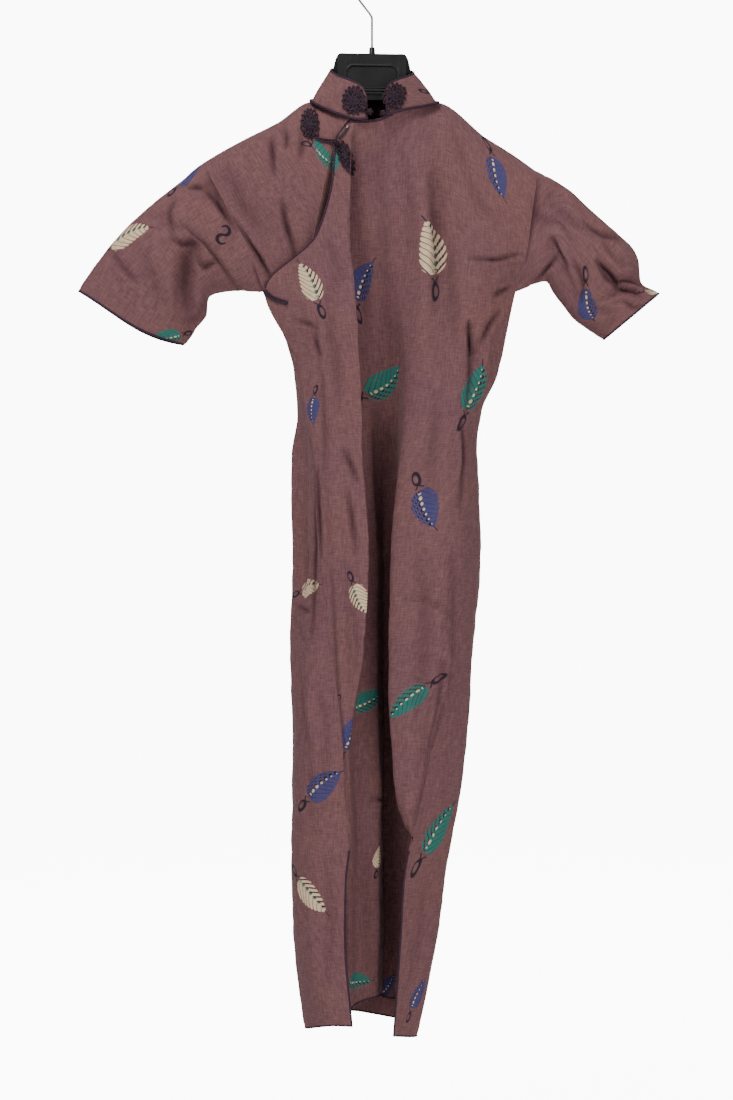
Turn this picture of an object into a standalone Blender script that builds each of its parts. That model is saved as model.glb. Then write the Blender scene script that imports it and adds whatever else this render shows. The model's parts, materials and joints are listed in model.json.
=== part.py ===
"""A long cheongsam dress hanging on a broad moulded hanger.

The world origin is the inner top of the hanger's hook. +X is to the right as the dress is seen from the
front, +Y goes from the front to the back and +Z is up. Tables hold millimetres; the meshes are in metres.
"""
import math
from typing import NamedTuple

import bmesh
import bpy
import numpy as np

MM = 0.001

# Cloth, in millimetres
CLOTH_THICK = 1.2
COLLAR_THICK = 1.8
SEAM_GAP = 0.36
BINDING_WIDE = 4.2
BINDING_THICK = 2.2
BINDING_GAP = 0.6
NECK_CORD_RADIUS = 1.4
NECK_CORD_OUT = 2.9
NECK_CORD_UP = 2.2
LOOP_RADIUS = 2.3
LOOP_START = (-133, -417)
LOOP_END = (-112, -433)
STUD_PLACE = (-25, -213)
STUD_RADIUS = 3.4
STUD_TOP_RADIUS = 2.6
STUD_HEIGHT = 1.4
UNDERARM_HEIGHT = -417.0

# How many pieces the spans are divided into: between places, between sections from the hem up, and along sleeves
ACROSS_STEPS = 3
SLIT_STEPS = (2, 2, 3)
SKIRT_STEPS = (2, 2, 3, 3, 3, 1, 2, 3)
YOKE_STEPS = (3, 3, 2, 1)
RISE_STEPS = SLIT_STEPS + SKIRT_STEPS + YOKE_STEPS
SLIT_ROW = sum(SLIT_STEPS)
UNDERARM_ROW = SLIT_ROW + sum(SKIRT_STEPS)
SLEEVE_STEPS = 3

# Hanger, in millimetres
WIRE_RADIUS = 1.6
HOOK_RADIUS = 22.0
BEND_HEIGHT = -57.0
FERRULE_HEIGHT = 10.0
FERRULE_RADIUS = 3.6
FERRULE_TOP_RADIUS = 2.8
HUMP_TOP = -107.0
HUMP_BOTTOM = -172.0
HUMP_WIDE = 95.0
HUMP_DEEP = 32.0
RECESS_WIDE = 66.0
RECESS_TOP = -122.0
RECESS_BOTTOM = -151.0
RECESS_DEEP = 2.0
HANGER_TILT = 0.9

# Front panel. A row is one level section: its height, then for each place the distance to the right of the
# hook and the distance behind it. The places run from the side seam on the left to the one on the right.
FRONT_PLACES = (
    "seam_left", "swell_left", "ridge_left", "wall_left", "floor_left", "floor_drop",
    "floor_right", "ridge_right", "swell_right", "dip_right", "turn_right", "seam_right",
)
FRONT_HEM = (
    (-72, -18), (-52, -34), (-31, -38), (-21, -26), (8, -14), (15, 41),
    (47, 39), (54, 22), (56, 4), (53, -12), (46, -22), (38, -31),
)
FRONT_HEM_HEIGHTS = (-1362, -1358, -1352, -1345, -1338, -1350, -1354, -1356, -1358, -1360, -1362, -1364)
FRONT_SECTIONS = {
    -1250: ((-68, -24), (-47, -40), (-31, -42), (-21, -26), (10, -14), (16, 40),
            (53, 38), (75, 20), (74, 0), (68, -13), (58, -25), (47, -36)),
    -1180: ((-50, -46), (-39, -46), (-28, -42), (-20, -26), (10, -14), (16, 40),
            (54, 36), (74, 16), (74, -4), (66, -18), (59, -28), (53, -36)),
    -1138: ((-29, -60), (-26, -55), (-23, -46), (-19, -28), (10, -14), (16, 39),
            (52, 34), (68, 12), (68, -8), (60, -28), (52, -46), (47, -62)),
    -1085: ((-34, -60), (-31, -63), (-27, -59), (-23, -30), (10, -15), (16, 38),
            (50, 34), (33, -53), (40, -60), (47, -63), (54, -63), (60, -61)),
    -1010: ((-37, -60), (-33, -64), (-29, -61), (-27, -30), (9, -16), (16, 38),
            (48, 34), (26, -56), (41, -64), (58, -65), (69, -62), (77, -59)),
    -880: ((-53, -50), (-32, -60), (-11, -61), (-13, -20), (8, -8), (15, 32),
           (37, 28), (22, -52), (51, -66), (82, -66), (103, -54), (122, -28)),
    -750: ((-68, -42), (-37, -56), (-6, -58), (-10, -10), (7, 0), (16, 28),
           (34, 22), (25, -48), (55, -62), (87, -62), (116, -48), (140, -8)),
    -630: ((-76, -34), (-46, -52), (-13, -54), (-18, -6), (3, 2), (17, 20),
           (34, 8), (37, -38), (67, -54), (95, -52), (116, -42), (136, -8)),
    -575: ((-86, -26), (-50, -48), (-14, -53), (-20, -8), (0, -2), (17, 9),
           (35, -1), (41, -31), (68, -50), (97, -44), (118, -36), (140, -6)),
    -520: ((-94, -16), (-54, -44), (-16, -52), (-22, -10), (-3, -6), (17, -2),
           (36, -10), (43, -26), (69, -46), (98, -36), (128, -32), (164, -4)),
    -417: ((-141, -9), (-78, -36), (-22, -48), (-26, -14), (-10, -12), (10, -14),
           (26, -18), (41, -24), (67, -40), (97, -30), (132, -30), (188, -3)),
}
# The rows that rise from the underarm to the neck and shoulder: the part of the way up, then the same places.
FRONT_RISES = {
    0.333: ((-73, -36), (-49, -44), (-29, -48), (-34, -18), (-14, -18), (5, -20),
            (21, -22), (39, -26), (65, -38), (89, -28), (140, -30), (202, -20)),
    0.667: ((-52, -42), (-39, -46), (-28, -48), (-30, -24), (-18, -26), (-1, -28),
            (14, -29), (31, -30), (58, -36), (85, -30), (145, -28), (209, -20)),
    0.9: ((-38, -44), (-31, -46), (-25, -47), (-21, -40), (-10, -40), (1, -40),
          (11, -40), (24, -38), (54, -34), (86, -22), (150, -18), (214, -17)),
}
FRONT_TOP = (
    (-32, -44), (-28, -45), (-23, -45), (-18, -45), (-8, -45), (1, -45),
    (10, -44), (21, -43), (52, -28), (85, 0), (151, 0), (215, 0),
)
FRONT_TOP_HEIGHTS = (-206, -204, -204, -204, -204, -203, -202, -199, -187, -172, -217, -259)

# Back panel, with the same columns. Its sides come round to the front.
BACK_PLACES = (
    "seam_left", "strip_left", "turn_left", "side_left", "back_left", "hollow_left",
    "middle", "hollow_right", "back_right", "side_right", "seam_right",
)
BACK_HEM = (
    (-25, -60), (-48, -60), (-67, -48), (-87, -10), (-67, 48), (-29, 41),
    (0, 51), (30, 44), (52, 47), (58, -18), (27, -58),
)
BACK_HEM_HEIGHTS = (-1367, -1366, -1370, -1379, -1372, -1368, -1374, -1378, -1383, -1388, -1380)
BACK_SECTIONS = {
    -1250: ((-34, -62), (-67, -56), (-93, -36), (-103, 0), (-80, 48), (-34, 44),
            (3, 54), (43, 45), (77, 48), (88, -5), (36, -60)),
    -1180: ((-33, -61), (-67, -56), (-94, -36), (-106, 2), (-83, 50), (-34, 46),
            (5, 54), (48, 43), (85, 49), (96, 0), (40, -61)),
    -1138: ((-29, -60), (-67, -56), (-94, -38), (-106, 2), (-80, 52), (-34, 46),
            (5, 54), (51, 43), (91, 50), (103, 0), (47, -62)),
    -1085: ((-34, -60), (-69, -55), (-95, -36), (-104, 3), (-80, 53), (-34, 45),
            (8, 54), (55, 43), (98, 50), (113, -1), (60, -61)),
    -1010: ((-37, -60), (-70, -54), (-95, -34), (-104, 4), (-80, 54), (-34, 44),
            (11, 54), (59, 44), (104, 50), (123, -2), (77, -59)),
    -880: ((-53, -50), (-83, -34), (-95, -14), (-107, 10), (-83, 52), (-37, 46),
           (11, 54), (64, 44), (115, 50), (132, 2), (122, -28)),
    -750: ((-68, -42), (-77, -28), (-84, -8), (-105, 14), (-80, 50), (-37, 44),
           (13, 52), (69, 42), (123, 48), (143, 14), (140, -8)),
    -630: ((-76, -34), (-81, -20), (-85, -6), (-105, 12), (-77, 44), (-34, 40),
           (16, 48), (69, 38), (120, 42), (139, 12), (136, -8)),
    -575: ((-86, -26), (-89, -16), (-92, -5), (-97, 9), (-76, 38), (-33, 38),
           (18, 46), (72, 36), (126, 38), (145, 11), (140, -6)),
    -520: ((-94, -16), (-98, -10), (-100, -2), (-102, 8), (-75, 34), (-32, 36),
           (21, 44), (77, 34), (141, 34), (167, 10), (164, -4)),
    -417: ((-143, -3), (-140, 2), (-136, 7), (-126, 14), (-90, 28), (-34, 34),
           (24, 40), (85, 32), (151, 28), (182, 11), (188, -3)),
}
BACK_RISES = {
    0.333: ((-162, 12), (-157, 16), (-149, 19), (-129, 24), (-87, 30), (-38, 36),
            (17, 40), (86, 34), (148, 32), (186, 24), (203, 16)),
    0.667: ((-192, 16), (-185, 18), (-165, 22), (-133, 24), (-83, 28), (-42, 34),
            (9, 38), (86, 32), (144, 30), (188, 24), (212, 18)),
    0.9: ((-213, 16), (-197, 17), (-172, 17), (-134, 17), (-81, 19), (-42, 28),
          (4, 35), (85, 19), (142, 18), (187, 17), (215, 16)),
}
BACK_TOP = (
    (-219, 0), (-199, 0), (-173, 0), (-134, 0), (-80, 0), (-42, 24),
    (3, 34), (85, 0), (141, 0), (187, 0), (215, 0),
)
BACK_TOP_HEIGHTS = (-247, -235, -221, -202, -170, -162, -161, -172, -210, -239, -259)

# Small front under the slanting opening, from the sleeve's crease to its inner edge.
UNDERLAP_PLACES = ("crease", "upper_arm", "shoulder", "neck_side", "neck", "inner")
UNDERLAP_SECTIONS = {
    -450: ((-120, 2), (-115, 1), (-110, 0), (-104, -2), (-99, -4), (-94, -6)),
    -417: ((-141, -4), (-133, -4), (-123, -5), (-112, -8), (-103, -10), (-95, -12)),
}
UNDERLAP_RISES = {
    0.333: ((-162, -14), (-152, -18), (-138, -20), (-117, -21), (-94, -22), (-73, -24)),
    0.667: ((-192, -16), (-176, -20), (-154, -24), (-122, -27), (-88, -30), (-59, -33)),
    0.9: ((-213, -16), (-197, -17), (-168, -18), (-128, -20), (-80, -24), (-43, -38)),
}
UNDERLAP_TOP = ((-219, 0), (-199, 0), (-166, 0), (-124, 0), (-80, 0), (-24, -38))
UNDERLAP_TOP_HEIGHTS = (-247, -235, -217, -196, -170, -190)


class SleeveRing(NamedTuple):
    """One ring round a sleeve: its upper and lower ends as seen from the front, its two depths, and
    how far it bows outwards between its ends."""

    top: tuple[float, float]
    bottom: tuple[float, float]
    front: float
    back: float
    bow: float = 0


SLEEVE_LEFT = (
    SleeveRing((-255, -278), (-178, -416), 27, 24),
    SleeveRing((-291, -307), (-212, -424), 31, 26),
    SleeveRing((-330, -344), (-217, -449), 30, 26),
    SleeveRing((-356, -375), (-231, -467), 27, 24),
    SleeveRing((-385, -417), (-248, -487), 23, 22, 9),
)
SLEEVE_RIGHT = (
    SleeveRing((253, -281), (226, -404), 25, 26),
    SleeveRing((286, -311), (238, -421), 28, 30),
    SleeveRing((314, -336), (250, -437), 30, 33),
    SleeveRing((347, -371), (272, -459), 30, 35),
    SleeveRing((377, -420), (305, -480), 28, 34),
)


class Fold(NamedTuple):
    """A soft fold across a sleeve, seen from the front: three places along it, its depth and its width."""

    start: tuple[float, float]
    middle: tuple[float, float]
    end: tuple[float, float]
    depth: float
    wide: float


# Positive depths are troughs and negative ones are ridges.
FRONT_FOLDS = (
    Fold((-248, -325), (-215, -352), (-178, -402), 6, 9),
    Fold((-238, -350), (-242, -385), (-240, -425), 7, 12),
    Fold((236, -350), (262, -388), (272, -450), -6, 14),
    Fold((297, -380), (322, -402), (366, -420), 12, 11),
)
BACK_FOLDS = (
    Fold((-250, -330), (-222, -360), (-190, -398), 6, 10),
    Fold((-300, -360), (-280, -395), (-262, -440), 5, 14),
    Fold((240, -330), (262, -375), (280, -440), 6, 14),
    Fold((290, -350), (315, -385), (345, -415), 7, 13),
)


class CollarPlace(NamedTuple):
    """One place round the collar: across, behind and height at its base, then at its upper edge."""

    base: tuple[float, float, float]
    edge: tuple[float, float, float]


COLLAR = (
    CollarPlace((-5, -47, -201), (-6, -43, -171)),
    CollarPlace((-16, -47, -202), (-12, -41, -156)),
    CollarPlace((-36, -41, -196), (-26, -37, -147)),
    CollarPlace((-60, -27, -184), (-43, -25, -138)),
    CollarPlace((-79, -10, -171), (-53, -8, -127)),
    CollarPlace((-74, 12, -165), (-53, 10, -122)),
    CollarPlace((-44, 28, -159), (-36, 28, -116)),
    CollarPlace((3, 38, -157), (1, 37, -113)),
    CollarPlace((48, 28, -161), (36, 28, -118)),
    CollarPlace((79, 12, -168), (52, 10, -125)),
    CollarPlace((85, -9, -173), (53, -8, -131)),
    CollarPlace((67, -27, -181), (44, -24, -139)),
    CollarPlace((43, -41, -188), (32, -34, -145)),
    CollarPlace((28, -46, -193), (20, -40, -154)),
    CollarPlace((18, -47, -197), (15, -42, -167)),
)


class Flower(NamedTuple):
    """A flower-shaped frog: its middle as seen from the front, half its width and height, its turn in degrees,
    how far it is raised and its gap to the cloth."""

    name: str
    across: float
    height: float
    half_wide: float
    half_high: float
    turn: float
    raised: float
    gap: float


COLLAR_FLOWERS = (
    Flower("frog_collar_left", -26, -177, 13.5, 18.5, 18, 4.0, 0.5),
    Flower("frog_collar_right", 34, -170, 13.0, 17.5, -10, 4.0, 0.5),
)
FRONT_FLOWER = Flower("frog_opening_right", -38, -250, 8.5, 18.5, 40, 4.5, 1.0)
SHOULDER_FLOWER = Flower("frog_opening_left", -83, -196, 12.0, 18.0, 5, 4.5, 0.5)
FLOWER_PETALS = 5


class BallKnot(NamedTuple):
    """A ball of knotted cord at the collar's front."""

    name: str
    middle: tuple[float, float, float]
    radius: float


BALL_KNOTS = (
    BallKnot("ball_knot_left", (-3, -55, -191), 4.2),
    BallKnot("ball_knot_right", (14, -55, -193), 4.2),
)


class ArmSection(NamedTuple):
    """One section of the hanger's arm: distance from the middle, top height, half height, half depth."""

    out: float
    top: float
    half_high: float
    half_deep: float


HUMP_SHOULDERS = (
    (-HUMP_WIDE / 2, 0.74),
    (-HUMP_WIDE / 2 + 5, 0.97),
    (0, 1.0),
    (HUMP_WIDE / 2 - 5, 0.97),
    (HUMP_WIDE / 2, 0.74),
)
HANGER_ARM = (
    ArmSection(58, -167, 8.0, 6.5),
    ArmSection(80, -191, 8.5, 9.0),
    ArmSection(134, -216, 9.0, 10.5),
    ArmSection(173, -238, 9.0, 10.5),
    ArmSection(199, -254, 7.5, 8.5),
    ArmSection(207, -261, 5.0, 6.0),
)

# Colours as linear red, green, blue, with roughness and metallic value
CLOTH_COLOUR = (0.125, 0.052, 0.056, 1.0)
BINDING_COLOUR = (0.055, 0.020, 0.042, 1.0)
PLASTIC_COLOUR = (0.012, 0.012, 0.014, 1.0)
STEEL_COLOUR = (0.62, 0.62, 0.62, 1.0)


def clear_scene():
    """Removes every object of the scene."""
    for obj in list(bpy.data.objects):
        bpy.data.objects.remove(obj, do_unlink=True)


def slopes(knots, values):
    """Slopes of the smooth line through values that doesn't swing past them."""
    steps = np.diff(knots)
    rises = np.diff(values, axis=0) / steps[:, None]
    found = np.zeros_like(values)
    if len(values) == 2:
        found[:] = rises[0]
        return found
    before = steps[:-1, None]
    after = steps[1:, None]
    first = rises[:-1]
    second = rises[1:]
    same_way = first * second > 0
    weight_a = 2 * after + before
    weight_b = after + 2 * before
    mean = np.zeros_like(first)
    np.divide(
        weight_a + weight_b,
        weight_a / np.where(same_way, first, 1) + weight_b / np.where(same_way, second, 1),
        out=mean,
        where=same_way,
    )
    found[1:-1] = mean
    found[0] = rises[0]
    found[-1] = rises[-1]
    return found


def at_knots(knots, values, places):
    """The values of the smooth line through (knots, values) at each of the places."""
    knots = np.asarray(knots, float)
    values = np.asarray(values, float)
    places = np.clip(places, knots[0], knots[-1])
    tangents = slopes(knots, values)
    index = np.clip(np.searchsorted(knots, places, side="right") - 1, 0, len(knots) - 2)
    wide = (knots[index + 1] - knots[index])[:, None]
    part = (places[:, None] - knots[index][:, None]) / wide
    return (
        (2 * part**3 - 3 * part**2 + 1) * values[index]
        + (part**3 - 2 * part**2 + part) * wide * tangents[index]
        + (-2 * part**3 + 3 * part**2) * values[index + 1]
        + (part**3 - part**2) * wide * tangents[index + 1]
    )


def lengths_along(points):
    """Distance along a line of points, from its start."""
    spans = np.linalg.norm(np.diff(points, axis=0), axis=1)
    return np.concatenate([[0.0], np.cumsum(np.maximum(spans, 1e-6))])


def smooth_line(points, steps):
    """A smooth line through the points. steps is how many pieces each span gets, or a list of one for each."""
    points = np.asarray(points, float)
    knots = lengths_along(points)
    counts = [steps] * (len(points) - 1) if isinstance(steps, int) else steps
    places = [
        start + (end - start) * i / count
        for start, end, count in zip(knots[:-1], knots[1:], counts)
        for i in range(count)
    ]
    return at_knots(knots, points, np.append(places, knots[-1]))


def smooth_grid(rows, across, up):
    """A smooth sheet through rows of places."""
    lined = np.array([smooth_line(row, across) for row in rows])
    columns = [smooth_line(lined[:, i], up) for i in range(lined.shape[1])]
    return np.stack(columns, axis=1)


def resample(points, cut_start, cut_end):
    """The same line with lengths cut off at its start and end, its points spread as before."""
    knots = lengths_along(points)
    scale = (knots[-1] - cut_start - cut_end) / knots[-1]
    return at_knots(knots, points, cut_start + knots * scale)


def level_rows(sections):
    """Rows of (across, behind, height) from a table of level sections."""
    return [[(x, y, height) for x, y in row] for height, row in sections.items()]


def rising_rows(rises, top, top_heights, foot):
    """Rows between the underarm's height and the neck and shoulder line."""
    rows = []
    for part, row in rises.items():
        rows.append([(x, y, foot + part * (z - foot)) for (x, y), z in zip(row, top_heights)])
    rows.append([(x, y, z) for (x, y), z in zip(top, top_heights)])
    return rows


def panel_rows(hem, hem_heights, sections, rises, top, top_heights):
    """All rows of a panel, from its hem to its top."""
    rows = [[(x, y, z) for (x, y), z in zip(hem, hem_heights)]]
    rows += level_rows(sections)
    rows += rising_rows(rises, top, top_heights, UNDERARM_HEIGHT)
    return rows


def unit(vectors):
    """Vectors of length one."""
    return vectors / np.maximum(np.linalg.norm(vectors, axis=-1, keepdims=True), 1e-9)


def grid_normals(grid, closed):
    """Normals of a grid of points. A closed grid joins its last column to its first."""
    if closed:
        along = np.roll(grid, -1, axis=1) - np.roll(grid, 1, axis=1)
    else:
        along = np.gradient(grid, axis=1)
    up = np.gradient(grid, axis=0)
    return unit(np.cross(along, up))


def place(obj, material, collection):
    """Gives an object its material and puts it in the collection."""
    obj.data.materials.append(material)
    collection.objects.link(obj)
    return obj


def add_mesh(name, points, faces, material, collection, location=(0, 0, 0)):
    """Makes a named object from points in millimetres around its location."""
    mesh = bpy.data.meshes.new(name)
    shift = np.array(location, float)
    mesh.from_pydata([tuple((p - shift) * MM) for p in np.asarray(points, float)], [], faces)
    work = bmesh.new()
    work.from_mesh(mesh)
    bmesh.ops.recalc_face_normals(work, faces=work.faces)
    if work.calc_volume(signed=True) < 0:
        bmesh.ops.reverse_faces(work, faces=work.faces)
    work.to_mesh(mesh)
    work.free()
    obj = bpy.data.objects.new(name, mesh)
    obj.location = tuple(shift * MM)
    return place(obj, material, collection)


def add_cloth(name, grid, thick, material, collection, closed=False):
    """Makes a cloth panel: an open sheet through the grid's points, thickened evenly to both sides."""
    rows, columns = grid.shape[:2]
    faces = []
    for i in range(rows - 1):
        for j in range(columns if closed else columns - 1):
            a = i * columns + j
            b = i * columns + (j + 1) % columns
            faces += [(a, b, b + columns), (a, b + columns, a + columns)]
    mesh = bpy.data.meshes.new(name)
    mesh.from_pydata([tuple(p * MM) for p in grid.reshape(-1, 3)], [], faces)
    obj = place(bpy.data.objects.new(name, mesh), material, collection)
    solidify = obj.modifiers.new("cloth_thickness", "SOLIDIFY")
    solidify.thickness = thick * MM
    solidify.offset = 0.0
    return obj


def add_cord(name, path, radius, resolution, material, collection):
    """Makes a cord or wire along a path."""
    curve = bpy.data.curves.new(name, "CURVE")
    curve.dimensions = "3D"
    curve.bevel_depth = radius * MM
    curve.bevel_resolution = resolution
    curve.use_fill_caps = True
    spline = curve.splines.new("POLY")
    spline.points.add(len(path) - 1)
    for point, place_along in zip(spline.points, path):
        point.co = tuple(value * MM for value in place_along) + (1.0,)
    return place(bpy.data.objects.new(name, curve), material, collection)


def add_turned(name, foot, radius, top_radius, length, tilt, material, collection):
    """Makes a short turned piece from its foot. tilt turns its axis from upright, about X."""
    work = bmesh.new()
    bmesh.ops.create_cone(
        work, cap_ends=True, segments=20, radius1=radius * MM, radius2=top_radius * MM, depth=length * MM
    )
    bmesh.ops.translate(work, verts=work.verts, vec=(0, 0, length * MM / 2))
    mesh = bpy.data.meshes.new(name)
    work.to_mesh(mesh)
    work.free()
    obj = bpy.data.objects.new(name, mesh)
    obj.location = tuple(value * MM for value in foot)
    obj.rotation_euler = (math.radians(tilt), 0, 0)
    return place(obj, material, collection)


def add_ball(name, middle, radius, material, collection):
    """Makes a ball."""
    work = bmesh.new()
    bmesh.ops.create_uvsphere(work, u_segments=10, v_segments=6, radius=radius * MM)
    mesh = bpy.data.meshes.new(name)
    work.to_mesh(mesh)
    work.free()
    obj = bpy.data.objects.new(name, mesh)
    obj.location = tuple(value * MM for value in middle)
    return place(obj, material, collection)


def wall_mesh(grid, thick, closed, normals):
    """Points and triangles of a wall whose middle is the grid, square to the given normals."""
    rows, columns = grid.shape[:2]
    count = rows * columns
    points = np.concatenate(
        [(grid + normals * thick / 2).reshape(-1, 3), (grid - normals * thick / 2).reshape(-1, 3)]
    )
    faces = []
    last = columns if closed else columns - 1
    top = (rows - 1) * columns
    for i in range(rows - 1):
        for j in range(last):
            a = i * columns + j
            b = i * columns + (j + 1) % columns
            c = b + columns
            d = a + columns
            faces += [(a, b, c), (a, c, d)]
            faces += [(b + count, a + count, c + count), (c + count, a + count, d + count)]
    for a in range(last):
        b = (a + 1) % columns
        faces += [(b, a, a + count), (b, a + count, b + count)]
        faces += [(a + top, b + top, b + top + count), (a + top, b + top + count, a + top + count)]
    if not closed:
        for a in range(0, top, columns):
            d = a + columns
            faces += [(a, d, d + count), (a, d + count, a + count)]
            b = a + columns - 1
            c = d + columns - 1
            faces += [(c, b, b + count), (c, b + count, c + count)]
    return points, faces


def seam_cut(first_way, second_way, thick):
    """How far a panel stops short of a seam, from the ways in which the two panels leave it."""
    cosine = np.clip(np.sum(unit(first_way) * unit(second_way), axis=-1), -1, 1)
    half = np.maximum(np.arccos(cosine) / 2, 0.12)
    return SEAM_GAP / 2 + thick / 2 / np.tan(half) * (half < 1.5)


def trim_rows(grid, cut_left, cut_right):
    """Cuts the two ends of each row."""
    return np.array([resample(row, a, b) for row, a, b in zip(grid, cut_left, cut_right)])


def trim_columns(grid, cut_low, cut_high):
    """Cuts the two ends of each column."""
    turned = grid.transpose(1, 0, 2)
    cut = [resample(column, cut_low, cut_high) for column in turned]
    return np.array(cut).transpose(1, 0, 2)


def add_binding(name, inner, outer, normals, collection, closed=False):
    """A binding strip from a seam's gap outside a panel's cut edge to its finished edge, square to the panel."""
    start = inner + unit(outer - inner) * BINDING_GAP
    lines = np.stack([start, (start + outer) / 2, outer])
    facing = np.stack([normals, normals, normals])
    if not closed:
        lines = lines.transpose(1, 0, 2)
        facing = facing.transpose(1, 0, 2)
    points, faces = wall_mesh(lines, BINDING_THICK, closed, facing)
    add_mesh(name, points, faces, binding_material(name), collection)


def finished_edge(whole, cut_left, cut_right, cut_low, cut_high):
    """The panel's finished edges, point for point beside those of the panel cut back for its bindings."""
    grid = trim_columns(whole, cut_low, cut_high)
    grid[0] = trim_rows(whole[:1], cut_left[:1], cut_right[:1])[0]
    grid[0, 0] = whole[0, 0]
    grid[0, -1] = whole[0, -1]
    return grid


def sides_and_hem(grid, rows):
    """The line down the left side from a row, along the lowest row and up the right side."""
    return np.concatenate([grid[rows:0:-1, 0], grid[0], grid[1 : rows + 1, -1]])


def ends_and_top(grid):
    """The line up the left end, along the highest row and down the right end."""
    return np.concatenate([grid[:-1, 0], grid[-1], grid[-2::-1, -1]])


def distance_to_fold(points, fold):
    """Distance from each point to a fold, seen from the front, and how far along the fold it is."""
    line = smooth_line(np.array([fold.start, fold.middle, fold.end], float), 6)
    flat = points[..., [0, 2]]
    best = np.full(flat.shape[:-1], np.inf)
    along = np.zeros(flat.shape[:-1])
    for i, (a, b) in enumerate(zip(line[:-1], line[1:])):
        way = b - a
        part = np.clip(((flat - a) @ way) / (way @ way), 0, 1)
        gap = np.linalg.norm(flat - (a + part[..., None] * way), axis=-1)
        nearer = gap < best
        best = np.where(nearer, gap, best)
        along = np.where(nearer, (i + part) / (len(line) - 1), along)
    return best, along


def press_folds(grid, folds, facing):
    """Presses folds into the side of a sleeve that faces the front (-1) or the back (1)."""
    normals = grid_normals(grid, True)
    turned = np.clip(normals[..., 1] * facing, 0, 1) ** 0.5
    moved = grid.copy()
    for fold in folds:
        gap, along = distance_to_fold(grid, fold)
        taper = np.clip(np.sin(np.pi * np.clip(along * 0.8 + 0.16, 0, 1)), 0, 1)
        moved[..., 1] -= facing * fold.depth * np.exp(-((gap / fold.wide) ** 2)) * taper * turned
    return moved


def sleeve_grid(armhole, rings, turn):
    """The sleeve's sheet from the armhole loop out to the cuff. turn is 1 or -1, for the way it goes round."""
    half = len(armhole) // 2
    rows = [np.asarray(armhole, float)]
    for ring in rings:
        top = np.array([ring.top[0], 0, ring.top[1]], float)
        bottom = np.array([ring.bottom[0], 0, ring.bottom[1]], float)
        fall = unit(bottom - top)
        outward = turn * np.array([fall[2], 0, -fall[0]])
        points = []
        for i in range(2 * half):
            angle = math.pi * i / half
            middle = (1 - math.cos(angle)) / 2
            point = top + (bottom - top) * middle + outward * ring.bow * math.sin(math.pi * middle**1.45)
            side = math.sin(angle)
            point[1] = -ring.front * side if side > 0 else -ring.back * side
            points.append(point)
        rows.append(points)
    columns = [smooth_line(np.array([row[i] for row in rows]), SLEEVE_STEPS) for i in range(2 * half)]
    grid = np.stack(columns, axis=1)
    return grid if turn > 0 else grid[:, ::-1]


class Cloth:
    """The front side of a sheet, for placing what lies on it."""

    def __init__(self, grid, thick):
        quads = (grid[:-1, :-1], grid[:-1, 1:], grid[1:, 1:], grid[1:, :-1])
        low_left, low_right, high_right, high_left = (quad.reshape(-1, 3) for quad in quads)
        self.first = np.concatenate([low_left, low_left])
        self.second = np.concatenate([low_right, high_right])
        self.third = np.concatenate([high_right, high_left])
        self.points = grid.reshape(-1, 3)
        self.thick = thick

    def depth(self, x, z):
        """How far behind the hook the frontmost cloth is, at a place seen from the front."""
        a = self.second[:, [0, 2]] - self.first[:, [0, 2]]
        b = self.third[:, [0, 2]] - self.first[:, [0, 2]]
        place = np.array([x, z]) - self.first[:, [0, 2]]
        area = a[:, 0] * b[:, 1] - a[:, 1] * b[:, 0]
        area = np.where(np.abs(area) < 1e-9, 1e-9, area)
        u = (place[:, 0] * b[:, 1] - place[:, 1] * b[:, 0]) / area
        v = (a[:, 0] * place[:, 1] - a[:, 1] * place[:, 0]) / area
        inside = (u >= -1e-6) & (v >= -1e-6) & (u + v <= 1 + 1e-6)
        if not inside.any():
            gaps = np.hypot(self.points[:, 0] - x, self.points[:, 2] - z)
            near = gaps < gaps.min() + 6
            return float(self.points[near, 1].min())
        depths = self.first[:, 1] + u * (self.second - self.first)[:, 1] + v * (self.third - self.first)[:, 1]
        return float(depths[inside].min())

    def outside(self, x, z, gap):
        """Depth of a place a gap in front of the cloth's outer face."""
        reach = 1.5
        across = (self.depth(x + reach, z) - self.depth(x - reach, z)) / (2 * reach)
        up = (self.depth(x, z + reach) - self.depth(x, z - reach)) / (2 * reach)
        steep = min(math.sqrt(1 + across**2 + up**2), 2.5)
        return self.depth(x, z) - (self.thick / 2 + gap) * steep


def add_flower(flower, cloth, material, collection):
    """A flower-shaped knot of cord on the cloth: lobed round its edge and raised in its middle."""
    around = 24
    parts = (0.0, 0.35, 0.7, 0.92, 1.0)
    heights = (1.0, 0.72, 0.95, 0.6, 0.1)
    points = []
    for side in (1.0, 0.0):
        for level, part in zip(heights, parts):
            for i in range(around if part else 1):
                angle = 2 * math.pi * i / around
                lobe = 1 - 0.16 * (1 + math.cos(FLOWER_PETALS * angle)) / 2 * min(1.0, part * 1.3)
                turned = angle + math.radians(flower.turn)
                x = flower.across + flower.half_wide * part * lobe * math.cos(turned)
                z = flower.height + flower.half_high * part * lobe * math.sin(turned)
                points.append((x, cloth.outside(x, z, flower.gap) - flower.raised * level * side, z))
    half = len(points) // 2
    faces = []
    for start in (0, half):
        for i in range(around):
            j = (i + 1) % around
            faces.append((start, start + 1 + i, start + 1 + j)[:: 1 if start == 0 else -1])
            for k in range(len(parts) - 2):
                low = start + 1 + k * around
                quad = (low + i, low + around + i, low + around + j, low + j)
                faces.append(quad[:: 1 if start == 0 else -1])
    rim = 1 + (len(parts) - 2) * around
    for i in range(around):
        j = (i + 1) % around
        faces.append((rim + i, half + rim + i, half + rim + j, rim + j))
    location = (flower.across, points[half][1], flower.height)
    return add_mesh(flower.name, points, faces, material, collection, location)


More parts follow.
